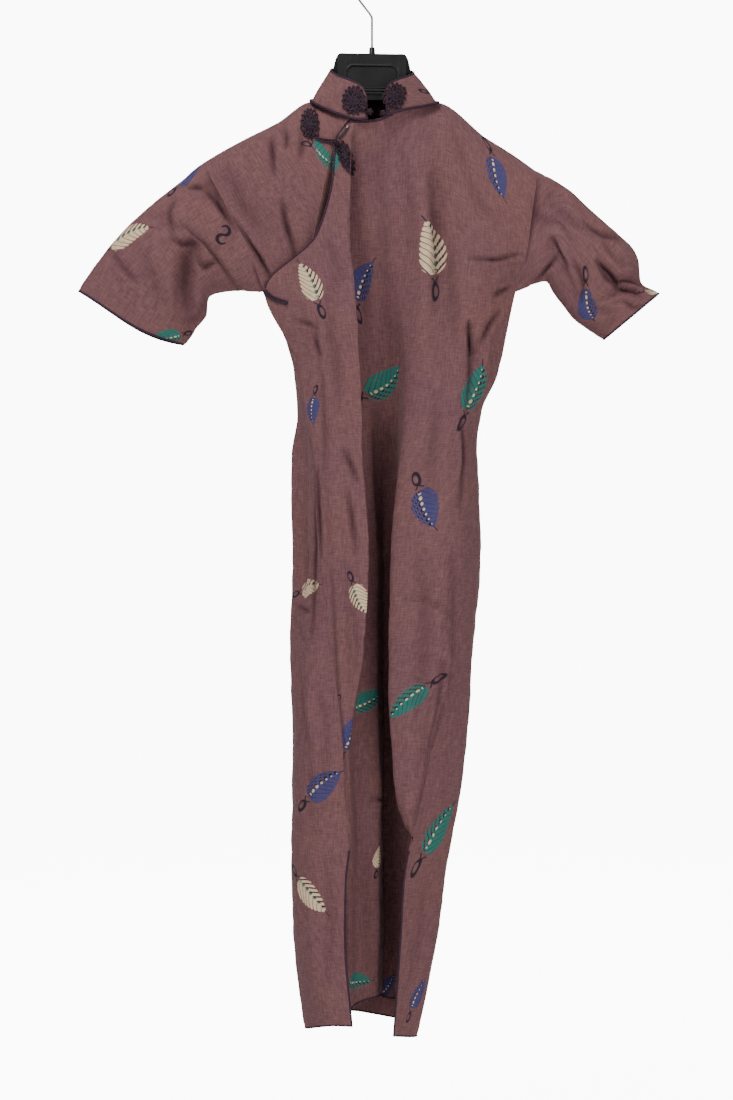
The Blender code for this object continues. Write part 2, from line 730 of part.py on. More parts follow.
def hook_path():
    """The wire's middle line from the ferrule up round the hook."""
    centre_height = WIRE_RADIUS - HOOK_RADIUS
    reach = centre_height - BEND_HEIGHT
    tangent = math.sqrt(reach**2 - HOOK_RADIUS**2)
    lean = math.asin(HOOK_RADIUS / reach)
    path = [(0, 0, HUMP_TOP + FERRULE_HEIGHT + 0.3), (0, 0, -80), (0, 0, BEND_HEIGHT - 6), (0, 0, BEND_HEIGHT - 2)]
    for part in (0.12, 0.5, 0.9):
        path.append(
            (-math.sin(lean) * tangent * part, 0, BEND_HEIGHT + math.cos(lean) * tangent * part)
        )
    first = math.pi + lean
    last = -math.radians(34)
    for i in range(19):
        angle = first + (last - first) * i / 18
        path.append((HOOK_RADIUS * math.cos(angle), 0, centre_height + HOOK_RADIUS * math.sin(angle)))
    return path


def tilted(points):
    """Turns the hanger's points a little about the hook, the right side down."""
    angle = math.radians(-HANGER_TILT)
    turned = []
    for x, y, z in points:
        rise = z - HUMP_TOP
        turned.append(
            (x * math.cos(angle) - rise * math.sin(angle), y, HUMP_TOP + x * math.sin(angle) + rise * math.cos(angle))
        )
    return turned


def hanger_mesh():
    """The broad arms with the hump between them, as one bar with rounded sections."""
    around = 12
    sections = []
    for arm in reversed(HANGER_ARM):
        sections.append((-arm.out, arm.top - arm.half_high, arm.half_high, arm.half_deep, 0.9))
    hump_middle = (HUMP_TOP + HUMP_BOTTOM) / 2
    hump_half = (HUMP_TOP - HUMP_BOTTOM) / 2
    for x, part in HUMP_SHOULDERS:
        low = HUMP_BOTTOM + 2
        high = HUMP_BOTTOM + 2 * hump_half * part
        sections.append((x, (low + high) / 2, (high - low) / 2, HUMP_DEEP / 2, 0.3))
    for arm in HANGER_ARM:
        sections.append((arm.out, arm.top - arm.half_high, arm.half_high, arm.half_deep, 0.9))
    points = []
    for x, middle, high, deep, roundness in sections:
        power = 2.0 if roundness > 0.5 else 5.0
        for k in range(around):
            angle = 2 * math.pi * (k + 0.5) / around
            cosine = math.cos(angle)
            sine = math.sin(angle)
            scale = (abs(cosine) ** power + abs(sine) ** power) ** (-1 / power)
            points.append((x, deep * cosine * scale, middle + high * sine * scale))
    points = tilted(points)
    faces = []
    for i in range(len(sections) - 1):
        for k in range(around):
            a = i * around + k
            b = i * around + (k + 1) % around
            faces.append((a, b, b + around, a + around))
    faces.append(tuple(range(around)))
    top = (len(sections) - 1) * around
    faces.append(tuple(reversed(range(top, top + around))))
    return points, faces


def make_material(name, colour, roughness, metallic):
    """A Principled material."""
    material = bpy.data.materials.new(name)
    material.use_nodes = True
    shader = material.node_tree.nodes["Principled BSDF"]
    shader.inputs["Base Color"].default_value = colour
    shader.inputs["Roughness"].default_value = roughness
    shader.inputs["Metallic"].default_value = metallic
    material.diffuse_color = colour
    return material


def cloth_material(name):
    """Plum cloth."""
    return make_material(name + "_cloth", CLOTH_COLOUR, 0.75, 0.0)


def binding_material(name):
    """Dark purple binding cloth."""
    return make_material(name + "_binding", BINDING_COLOUR, 0.7, 0.0)


def build_panels(collection):
    """Front, back and small front, with their edge bindings. Returns their sheets."""
    front = smooth_grid(
        panel_rows(FRONT_HEM, FRONT_HEM_HEIGHTS, FRONT_SECTIONS, FRONT_RISES, FRONT_TOP, FRONT_TOP_HEIGHTS),
        ACROSS_STEPS, RISE_STEPS,
    )
    back = smooth_grid(
        panel_rows(BACK_HEM, BACK_HEM_HEIGHTS, BACK_SECTIONS, BACK_RISES, BACK_TOP, BACK_TOP_HEIGHTS),
        ACROSS_STEPS, RISE_STEPS,
    )
    count = np.arange(len(front))

    # Side seams: the two panels stop short of each other; slits and the opening carry bindings instead.
    left_cut = seam_cut(front[:, 1] - front[:, 0], back[:, 1] - back[:, 0], CLOTH_THICK)
    right_cut = seam_cut(front[:, -2] - front[:, -1], back[:, -2] - back[:, -1], CLOTH_THICK)
    bound = BINDING_WIDE
    shoulder = 0.6
    front_left = np.where(count < SLIT_ROW, bound, np.where(count >= UNDERARM_ROW, bound, left_cut))
    front_right = np.where(count < SLIT_ROW, bound, np.where(count > UNDERARM_ROW, shoulder, right_cut))
    back_left = np.where(count < SLIT_ROW, bound, np.where(count > UNDERARM_ROW, shoulder, left_cut))
    back_right = np.where(count < SLIT_ROW, bound, np.where(count > UNDERARM_ROW, shoulder, right_cut))

    front_cut = trim_columns(trim_rows(front, front_left, front_right), bound, 0.9)
    back_cut = trim_columns(trim_rows(back, back_left, back_right), bound, 0.9)
    add_cloth("front_panel", front_cut, CLOTH_THICK, cloth_material("front_panel"), collection)
    add_cloth("back_panel", back_cut, CLOTH_THICK, cloth_material("back_panel"), collection)

    front_edge = finished_edge(front, front_left, front_right, bound, 0.9)
    back_edge = finished_edge(back, back_left, back_right, bound, 0.9)
    for name, edge, cut in (("front", front_edge, front_cut), ("back", back_edge, back_cut)):
        lines = [sides_and_hem(grid, SLIT_ROW - 1) for grid in (cut, edge, grid_normals(cut, False))]
        add_binding(f"binding_{name}_hem", *lines, collection)

    lines = [grid[UNDERARM_ROW + 1 :, 0] for grid in (front_cut, front_edge, grid_normals(front_cut, False))]
    add_binding("binding_opening", *lines, collection)

    underlap_rows = level_rows(UNDERLAP_SECTIONS)
    underlap_rows += rising_rows(UNDERLAP_RISES, UNDERLAP_TOP, UNDERLAP_TOP_HEIGHTS, UNDERARM_HEIGHT)
    underlap = smooth_grid(underlap_rows, ACROSS_STEPS, (1,) + YOKE_STEPS)
    underlap_cut = trim_rows(underlap, [shoulder] * len(underlap), [0.0] * len(underlap))
    underlap_cut = trim_columns(underlap_cut, 0.0, 0.9)
    add_cloth("underlap", underlap_cut, CLOTH_THICK, cloth_material("underlap"), collection)
    return front, back, underlap


def build_sleeves(front, back, underlap, collection):
    """The two sleeves and their cuff bindings."""
    sides = (
        ("left", underlap[1:, 0], back[UNDERARM_ROW:, 0], SLEEVE_LEFT, 1),
        ("right", front[UNDERARM_ROW:, -1], back[UNDERARM_ROW:, -1], SLEEVE_RIGHT, -1),
    )
    for name, front_edge, back_edge, rings, turn in sides:
        armhole = np.concatenate([front_edge[::-1], back_edge[1:-1]])
        grid = sleeve_grid(armhole, rings, turn)
        grid = press_folds(grid, FRONT_FOLDS, -1)
        grid = press_folds(grid, BACK_FOLDS, 1)
        whole = grid
        grid = trim_columns(whole, 0.6, BINDING_WIDE)
        label = f"sleeve_{name}"
        add_cloth(label, grid, CLOTH_THICK, cloth_material(label), collection, closed=True)
        facing = grid_normals(grid, True)[-1]
        add_binding(f"binding_cuff_{name}", grid[-1], whole[-1], facing, collection, closed=True)


def build_collar(collection):
    """The stand collar with its edge binding and the cord at its foot. Returns the collar's sheet."""
    base = smooth_line([place.base for place in COLLAR], 2)
    edge = smooth_line([place.edge for place in COLLAR], 2)
    middle = (base + edge) / 2
    outward = unit(np.cross(np.gradient(base, axis=0), edge - base))
    middle = middle - outward * 1.0
    whole = np.stack([base, middle, edge])
    grid = trim_rows(whole, [BINDING_WIDE] * 3, [BINDING_WIDE] * 3)
    grid = trim_columns(grid, 0.6, BINDING_WIDE)
    add_cloth("collar", grid, COLLAR_THICK, cloth_material("collar"), collection)
    lines = [ends_and_top(sheet) for sheet in (grid, whole, grid_normals(grid, False))]
    add_binding("binding_collar", *lines, collection)
    return whole


def recess_mesh():
    """The cutter for the sunk panel on the hump's front: a plate with a rounded top."""
    outline = [(-RECESS_WIDE / 2, RECESS_BOTTOM), (RECESS_WIDE / 2, RECESS_BOTTOM)]
    for i in range(9):
        angle = math.pi * i / 8
        outline.append((RECESS_WIDE / 2 * math.cos(angle), RECESS_TOP - 8 + 8 * math.sin(angle)))
    front = -HUMP_DEEP / 2 - 12
    back = -HUMP_DEEP / 2 + RECESS_DEEP
    points = [(x, front, z) for x, z in outline] + [(x, back, z) for x, z in outline]
    count = len(outline)
    faces = [tuple(range(count)), tuple(reversed(range(count, 2 * count)))]
    for i in range(count):
        j = (i + 1) % count
        faces.append((i, i + count, j + count, j))
    return tilted(points), faces


def build_hanger(collection):
    """Arms with hump, the sunk panel on its front, ferrule and wire hook."""
    plastic = make_material("hanger_plastic", PLASTIC_COLOUR, 0.35, 0.0)
    points, faces = hanger_mesh()
    hanger = add_mesh("hanger_body", points, faces, plastic, collection)
    points, faces = recess_mesh()
    cutters = bpy.data.collections.new("cutters")
    bpy.context.scene.collection.children.link(cutters)
    cutter = add_mesh("hanger_recess_cutter", points, faces, plastic, cutters)
    cutter.hide_render = True
    cutter.display_type = "WIRE"
    cut = hanger.modifiers.new("sunk_panel", "BOOLEAN")
    cut.operation = "DIFFERENCE"
    cut.solver = "EXACT"
    cut.object = cutter
    ferrule_plastic = make_material("ferrule_plastic", PLASTIC_COLOUR, 0.35, 0.0)
    foot = (0, 0, HUMP_TOP + 0.3)
    add_turned("ferrule", foot, FERRULE_RADIUS, FERRULE_TOP_RADIUS, FERRULE_HEIGHT, 0, ferrule_plastic, collection)
    hook_steel = make_material("hook_steel", STEEL_COLOUR, 0.3, 1.0)
    add_cord("hook_wire", hook_path(), WIRE_RADIUS, 2, hook_steel, collection)


def build_trims(front, underlap, collar, collection):
    """Frogs, ball knots, neck cord, underarm loop and press stud."""
    front_cloth = Cloth(front, CLOTH_THICK)
    collar_cloth = Cloth(collar, COLLAR_THICK)
    placed = [(flower, collar_cloth) for flower in COLLAR_FLOWERS]
    placed += [(FRONT_FLOWER, front_cloth), (SHOULDER_FLOWER, Cloth(underlap, CLOTH_THICK))]
    for flower, cloth in placed:
        add_flower(flower, cloth, binding_material(flower.name), collection)

    base = smooth_line([place.base for place in COLLAR], 2)
    edge = smooth_line([place.edge for place in COLLAR], 2)
    outward = unit(np.cross(edge - base, np.gradient(base, axis=0)))
    outward *= np.sign((outward * (base - base.mean(axis=0))).sum(axis=1, keepdims=True))
    cord = base + outward * NECK_CORD_OUT + np.array([0, 0, NECK_CORD_UP])
    add_cord("binding_neck", cord, NECK_CORD_RADIUS, 1, binding_material("binding_neck"), collection)

    for ball in BALL_KNOTS:
        add_ball(ball.name, ball.middle, ball.radius, binding_material(ball.name), collection)

    loop = []
    for i in range(7):
        part = i / 6
        x = LOOP_START[0] + (LOOP_END[0] - LOOP_START[0]) * part
        z = LOOP_START[1] + (LOOP_END[1] - LOOP_START[1]) * part
        loop.append((x, front_cloth.outside(x, z, LOOP_RADIUS + 0.4), z))
    add_cord("loop_underarm", loop, LOOP_RADIUS, 2, binding_material("loop_underarm"), collection)

    x, z = STUD_PLACE
    foot = (x, front_cloth.outside(x, z, 0.4), z)
    stud_steel = make_material("stud_steel", STEEL_COLOUR, 0.35, 1.0)
    add_turned("press_stud", foot, STUD_RADIUS, STUD_TOP_RADIUS, STUD_HEIGHT, 90, stud_steel, collection)


def main():
    """Builds the dress and its hanger."""
    clear_scene()
    collection = bpy.data.collections.new("cheongsam_on_hanger")
    bpy.context.scene.collection.children.link(collection)
    front, back, underlap = build_panels(collection)
    build_sleeves(front, back, underlap, collection)
    collar = build_collar(collection)
    build_hanger(collection)
    build_trims(front, underlap, collar, collection)
    holder = bpy.data.objects.new("hang_point", None)
    collection.objects.link(holder)
    for obj in list(collection.objects):
        if obj is not holder:
            obj.parent = holder


main()
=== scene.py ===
"""A long cheongsam on a broad moulded hanger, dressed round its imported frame.

Tables hold millimetres, in the frame's own axes: +X to the right as the dress is seen from the front, +Y to
the back and +Z up, from the inner top of the hanger's hook. Places read from the photograph are in its
pixels.
"""
import json
import logging
import math
from dataclasses import dataclass, field
from enum import Enum
from typing import Sequence

import bmesh
import bpy
import numpy as np
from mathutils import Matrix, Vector


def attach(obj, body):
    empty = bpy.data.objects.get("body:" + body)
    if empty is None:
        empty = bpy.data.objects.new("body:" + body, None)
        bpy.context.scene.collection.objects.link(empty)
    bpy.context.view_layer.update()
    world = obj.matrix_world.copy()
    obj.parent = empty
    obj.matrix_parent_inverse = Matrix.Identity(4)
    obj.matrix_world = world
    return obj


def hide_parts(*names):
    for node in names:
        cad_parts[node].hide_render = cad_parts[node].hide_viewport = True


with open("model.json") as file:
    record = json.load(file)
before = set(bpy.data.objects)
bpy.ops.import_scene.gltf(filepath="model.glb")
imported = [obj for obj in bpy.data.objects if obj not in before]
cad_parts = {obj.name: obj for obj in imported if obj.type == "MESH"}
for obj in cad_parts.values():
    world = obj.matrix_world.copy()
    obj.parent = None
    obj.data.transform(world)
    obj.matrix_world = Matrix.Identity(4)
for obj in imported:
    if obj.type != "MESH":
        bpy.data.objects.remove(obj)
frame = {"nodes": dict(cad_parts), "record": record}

log = logging.getLogger("cheongsam")
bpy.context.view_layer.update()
MM = 0.001
BODY = "root"
# An edge whose faces turn by more degrees than this stays sharp
SHARP_ABOVE = 55

Colour = tuple[float, float, float]
Faces = list[tuple[int, ...]]
Inputs = dict[str | int, object]
Material = bpy.types.Material
Pixel = tuple[float, float]
Row = Sequence[tuple[float, float]]


@dataclass(frozen=True)
class PhotoView:
    """The photograph's camera: its picture size in pixels, scale at the hook's depth, distance and middle."""

    wide_px: float = 733.0
    high_px: float = 1100.0
    scale: float = 1.31
    distance: float = 2800.0
    middle_x: float = -7.2
    middle_z: float = -755.2
    sensor: float = 36.0

    def flat(self, pixel: Pixel) -> tuple[float, float]:
        """A pixel's place on the upright plane through the hook, in millimetres."""
        across = self.middle_x + (pixel[0] - self.wide_px / 2) * self.scale
        return across, self.middle_z - (pixel[1] - self.high_px / 2) * self.scale

    def seen(self, points: np.ndarray) -> np.ndarray:
        """Where points appear on the upright plane through the hook.

        Args:
            points: places in millimetres, in the last axis.

        Returns:
            Their across and up on that plane.
        """
        far = 1 + points[..., 1] / self.distance
        across = self.middle_x + (points[..., 0] - self.middle_x) / far
        return np.stack([across, self.middle_z + (points[..., 2] - self.middle_z) / far], axis=-1)

    def lens(self) -> float:
        """The lens in millimetres that gives this scale at this distance."""
        return self.sensor * self.distance / (self.high_px * self.scale)


PHOTO = PhotoView()


class Shape(Enum):
    """How a crease is shaped across its line."""

    SOFT = "soft"
    SHARP = "sharp"
    STEP = "step"


@dataclass(frozen=True)
class Crease:
    """A crease or ridge: its line, its height (below 0 is a trough), half width and shape.

    The line is across and down of each place in turn, in photo pixels. On a side that the photo hides it is
    across and up in millimetres, where every height is below 0.
    """

    line: tuple[float, ...]
    height: float
    wide: float
    shape: Shape = Shape.SOFT


class Print(Enum):
    """What a printed motif is, with the number its faces carry."""

    CREAM = 1
    BLUE = 2
    TEAL = 3
    CURL = 4
    RING = 5


@dataclass(frozen=True)
class Motif:
    """A printed motif: its middle, direction in degrees, length in millimetres, kind and bend.

    The middle is a photo pixel. On a side that the photo hides it is in millimetres, with a height below 0.
    """

    middle: Pixel
    turn: float
    length: float
    kind: Print
    bend: float = 0.25


@dataclass(frozen=True)
class PanelCut:
    """A panel's form: level sections from the hem up, then rows that rise to its top line."""

    hem: Row
    hem_heights: Sequence[float]
    sections: dict[float, Row]
    rises: dict[float, Row]
    top: Row
    top_heights: Sequence[float]

    def rows(self, foot: float) -> list[list[tuple[float, float, float]]]:
        """Every row of places from the hem to the top.

        Args:
            foot: the height from which the rising rows start.

        Returns:
            Rows of places across, behind and up.
        """
        found = []
        if self.hem:
            found.append([(x, y, z) for (x, y), z in zip(self.hem, self.hem_heights)])
        for height, row in self.sections.items():
            found.append([(x, y, height) for x, y in row])
        for part, row in self.rises.items():
            found.append([(x, y, foot + part * (z - foot)) for (x, y), z in zip(row, self.top_heights)])
        found.append([(x, y, z) for (x, y), z in zip(self.top, self.top_heights)])
        return found


UNDERARM = -417.0

# Places from the side seam on the left to the one on the right: seam, swell, ridge, wall, floor, its drop,
# floor, ridge, swell, dip, turn, seam.
FRONT_CUT = PanelCut(
    hem=(
        (-72, -18), (-52, -34), (-31, -38), (-21, -26), (8, -14), (15, 41),
        (47, 39), (54, 22), (56, 4), (53, -12), (46, -22), (38, -31),
    ),
    hem_heights=(-1362, -1358, -1352, -1345, -1338, -1350, -1354, -1356, -1358, -1360, -1362, -1364),
    sections={
        -1250: ((-68, -24), (-47, -40), (-31, -42), (-21, -26), (10, -14), (16, 40),
                (53, 38), (75, 20), (74, 0), (68, -13), (58, -25), (47, -36)),
        -1180: ((-50, -46), (-39, -46), (-28, -42), (-20, -26), (10, -14), (16, 40),
                (54, 36), (74, 16), (74, -4), (66, -18), (59, -28), (53, -36)),
        -1138: ((-29, -60), (-26, -55), (-23, -46), (-19, -28), (10, -14), (16, 39),
                (52, 34), (68, 12), (68, -8), (60, -28), (52, -46), (47, -62)),
        -1116: ((-31, -60), (-28, -58), (-25, -51), (-21, -29), (10, -14), (16, 39),
                (51, 34), (47, -38), (48, -56), (49, -63), (50, -64), (52, -62)),
        -1085: ((-34, -60), (-31, -63), (-27, -59), (-23, -30), (10, -15), (16, 38),
                (50, 34), (33, -53), (40, -60), (47, -63), (54, -63), (60, -61)),
        -1010: ((-37, -60), (-33, -64), (-29, -61), (-27, -30), (9, -16), (16, 38),
                (48, 34), (26, -56), (41, -64), (58, -65), (69, -62), (77, -59)),
        -880: ((-53, -50), (-32, -60), (-11, -61), (-13, -20), (8, -8), (15, 32),
               (37, 28), (22, -52), (51, -66), (82, -66), (103, -54), (122, -28)),
        -750: ((-68, -42), (-37, -56), (-6, -58), (-10, -10), (7, 0), (16, 28),
               (34, 22), (25, -48), (55, -62), (87, -62), (116, -48), (140, -8)),
        -630: ((-76, -34), (-46, -52), (-13, -54), (-18, -6), (3, 2), (17, 20),
               (34, 8), (37, -38), (67, -54), (95, -52), (116, -42), (136, -8)),
        -575: ((-86, -26), (-50, -48), (-14, -53), (-20, -8), (0, -2), (17, 9),
               (35, -1), (41, -31), (68, -50), (97, -44), (118, -36), (140, -6)),
        -520: ((-94, -16), (-54, -44), (-16, -52), (-22, -4), (-3, 5), (17, 11),
               (36, -5), (43, -26), (69, -46), (98, -36), (128, -32), (164, -4)),
        -417: ((-141, -9), (-78, -36), (-22, -48), (-27, -8), (-10, -2), (10, -3),
               (26, -12), (41, -24), (67, -40), (97, -30), (132, -30), (188, -3)),
    },
    rises={
        0.333: ((-73, -36), (-49, -44), (-29, -48), (-34, -18), (-14, -18), (5, -20),
                (21, -22), (39, -26), (65, -38), (89, -28), (140, -30), (202, -20)),
        0.667: ((-52, -42), (-39, -46), (-28, -48), (-30, -24), (-18, -26), (-1, -28),
                (14, -29), (31, -30), (58, -36), (85, -30), (145, -28), (209, -20)),
        0.9: ((-48, -44), (-37, -46), (-28, -47), (-22, -40), (-10, -40), (1, -40),
              (11, -40), (24, -38), (54, -34), (86, -22), (150, -18), (214, -17)),
    },
    top=(
        (-32, -44), (-28, -45), (-23, -45), (-18, -45), (-8, -45), (1, -45),
        (10, -44), (22, -44), (51, -32), (85, -4), (151, 0), (215, 0),
    ),
    top_heights=(-205, -202, -201, -201, -201, -200, -198, -193, -182, -170, -217, -259),
)

# Places from the left side seam round the back to the right one: seam, strip, turn, side, back, hollow,
# middle, hollow, back, side, seam.
BACK_CUT = PanelCut(
    hem=(
        (-25, -60), (-48, -60), (-67, -48), (-87, -10), (-67, 48), (-29, 41),
        (0, 51), (30, 44), (52, 47), (58, -18), (27, -58),
    ),
    hem_heights=(-1367, -1366, -1370, -1379, -1372, -1368, -1374, -1378, -1383, -1388, -1380),
    sections={
        -1250: ((-34, -62), (-67, -56), (-93, -36), (-103, 0), (-80, 48), (-34, 44),
                (3, 54), (43, 45), (77, 48), (88, -5), (36, -60)),
        -1180: ((-33, -61), (-67, -56), (-94, -36), (-106, 2), (-83, 50), (-34, 46),
                (5, 54), (48, 43), (85, 49), (96, 0), (40, -61)),
        -1138: ((-29, -60), (-67, -56), (-94, -38), (-106, 2), (-80, 52), (-34, 46),
                (5, 54), (51, 43), (91, 50), (103, 0), (47, -62)),
        -1116: ((-31, -60), (-68, -55), (-94, -37), (-105, 2), (-80, 52), (-34, 46),
                (6, 54), (53, 43), (94, 50), (107, 0), (52, -62)),
        -1085: ((-34, -60), (-69, -55), (-95, -36), (-104, 3), (-80, 53), (-34, 45),
                (8, 54), (55, 43), (98, 50), (113, -1), (60, -61)),
        -1010: ((-37, -60), (-70, -54), (-95, -34), (-104, 4), (-80, 54), (-34, 44),
                (11, 54), (59, 44), (104, 50), (123, -2), (77, -59)),
        -880: ((-53, -50), (-83, -34), (-95, -14), (-107, 10), (-83, 52), (-37, 46),
               (11, 54), (64, 44), (115, 50), (132, 2), (122, -28)),
        -750: ((-68, -42), (-77, -28), (-84, -8), (-105, 14), (-80, 50), (-37, 44),
               (13, 52), (69, 42), (123, 48), (143, 14), (140, -8)),
        -630: ((-76, -34), (-81, -20), (-85, -6), (-105, 12), (-77, 44), (-34, 40),
               (16, 48), (69, 38), (120, 42), (139, 12), (136, -8)),
        -575: ((-86, -26), (-89, -16), (-92, -5), (-97, 9), (-76, 38), (-33, 38),
               (18, 46), (72, 36), (126, 38), (145, 11), (140, -6)),
        -520: ((-94, -16), (-98, -10), (-100, -2), (-102, 8), (-75, 34), (-32, 36),
               (21, 44), (77, 34), (141, 34), (167, 10), (164, -4)),
        -417: ((-143, -3), (-140, 2), (-136, 7), (-126, 14), (-90, 28), (-34, 34),
               (24, 40), (85, 32), (151, 28), (182, 11), (188, -3)),
    },
    rises={
        0.333: ((-162, 12), (-157, 16), (-149, 19), (-129, 24), (-87, 30), (-38, 36),
                (17, 40), (86, 34), (148, 32), (186, 24), (203, 16)),
        0.667: ((-192, 16), (-185, 18), (-165, 22), (-133, 24), (-83, 28), (-42, 34),
                (9, 38), (86, 32), (144, 30), (188, 24), (212, 18)),
        0.9: ((-213, 16), (-197, 17), (-172, 17), (-134, 17), (-81, 19), (-42, 28),
              (4, 35), (85, 19), (142, 18), (187, 17), (215, 16)),
    },
    top=(
        (-219, 0), (-199, 0), (-173, 0), (-134, 0), (-80, 0), (-42, 24),
        (3, 34), (85, 0), (141, 0), (187, 0), (215, 0),
    ),
    top_heights=(-247, -235, -221, -202, -170, -162, -161, -172, -210, -239, -259),
)

# Places from the sleeve's crease to the small front's inner edge.
UNDERLAP_CUT = PanelCut(
    hem=(),
    hem_heights=(),
    sections={
        -450: ((-120, 2), (-115, 1), (-110, 0), (-104, -2), (-99, -4), (-94, -6)),
        -417: ((-141, -4), (-133, -4), (-123, -5), (-112, -8), (-103, -10), (-95, -12)),
    },
    rises={
        0.333: ((-162, -14), (-152, -18), (-138, -20), (-117, -21), (-94, -22), (-74, -24)),
        0.667: ((-192, -16), (-176, -20), (-154, -24), (-122, -27), (-88, -30), (-59, -34)),
        0.9: ((-213, -16), (-197, -17), (-168, -18), (-128, -20), (-80, -24), (-43, -38)),
    },
    top=((-219, 0), (-199, 0), (-166, 0), (-124, 0), (-80, -3), (-28, -42)),
    top_heights=(-247, -235, -217, -196, -169, -196),
)


@dataclass(frozen=True)
class SleeveRing:
    """One ring round a sleeve: its upper and lower ends from the front, its two depths, how far it bows."""

    top: tuple[float, float]
    bottom: tuple[float, float]
    front: float
    back: float
    bow: float = 0


SLEEVE_LEFT = (
    SleeveRing((-255, -278), (-178, -416), 27, 24),
    SleeveRing((-291, -307), (-212, -424), 31, 26),
    SleeveRing((-330, -344), (-217, -449), 30, 26),
    SleeveRing((-356, -375), (-231, -467), 27, 24),
    SleeveRing((-385, -417), (-248, -487), 23, 22, 9),
)
SLEEVE_RIGHT = (
    SleeveRing((253, -281), (226, -404), 25, 26),
    SleeveRing((286, -311), (238, -421), 28, 30),
    SleeveRing((314, -336), (250, -437), 30, 33),
    SleeveRing((347, -371), (272, -459), 30, 35),
    SleeveRing((351, -402), (292, -472), 29, 35),
    SleeveRing((377, -420), (305, -480), 28, 34),
)


@dataclass(frozen=True)
class Fold:
    """A soft fold of a sleeve's solid, seen from the front: three places along it, depth and width."""

    start: tuple[float, float]
    middle: tuple[float, float]
    end: tuple[float, float]
    depth: float
    wide: float


FRONT_FOLDS = (
    Fold((-248, -325), (-215, -352), (-178, -402), 6, 9),
    Fold((-238, -350), (-242, -385), (-240, -425), 7, 12),
    Fold((236, -350), (262, -388), (272, -450), -6, 14),
    Fold((297, -380), (322, -402), (366, -420), 12, 11),
)
BACK_FOLDS = (
    Fold((-250, -330), (-222, -360), (-190, -398), 6, 10),
    Fold((-300, -360), (-280, -395), (-262, -440), 5, 14),
    Fold((240, -330), (262, -375), (280, -440), 6, 14),
    Fold((290, -350), (315, -385), (345, -415), 7, 13),
)


@dataclass(frozen=True)
class CollarPlace:
    """One place round the collar: across, behind and up at its base, then at its upper edge."""

    base: tuple[float, float, float]
    edge: tuple[float, float, float]


COLLAR = (
    CollarPlace((-5, -47, -201), (-6, -43, -171)),
    CollarPlace((-16, -47, -202), (-12, -41, -156)),
    CollarPlace((-36, -41, -196), (-26, -37, -147)),
    CollarPlace((-60, -27, -184), (-43, -25, -138)),
    CollarPlace((-79, -10, -171), (-53, -8, -127)),
    CollarPlace((-74, 12, -165), (-53, 10, -122)),
    CollarPlace((-44, 28, -159), (-36, 28, -116)),
    CollarPlace((3, 38, -157), (1, 37, -113)),
    CollarPlace((48, 28, -161), (36, 28, -118)),
    CollarPlace((79, 12, -168), (52, 10, -125)),
    CollarPlace((85, -9, -173), (53, -8, -131)),
    CollarPlace((67, -27, -181), (44, -24, -139)),
    CollarPlace((43, -41, -188), (32, -34, -145)),
    CollarPlace((28, -46, -193), (20, -40, -154)),
    CollarPlace((18, -47, -197), (15, -42, -167)),
)


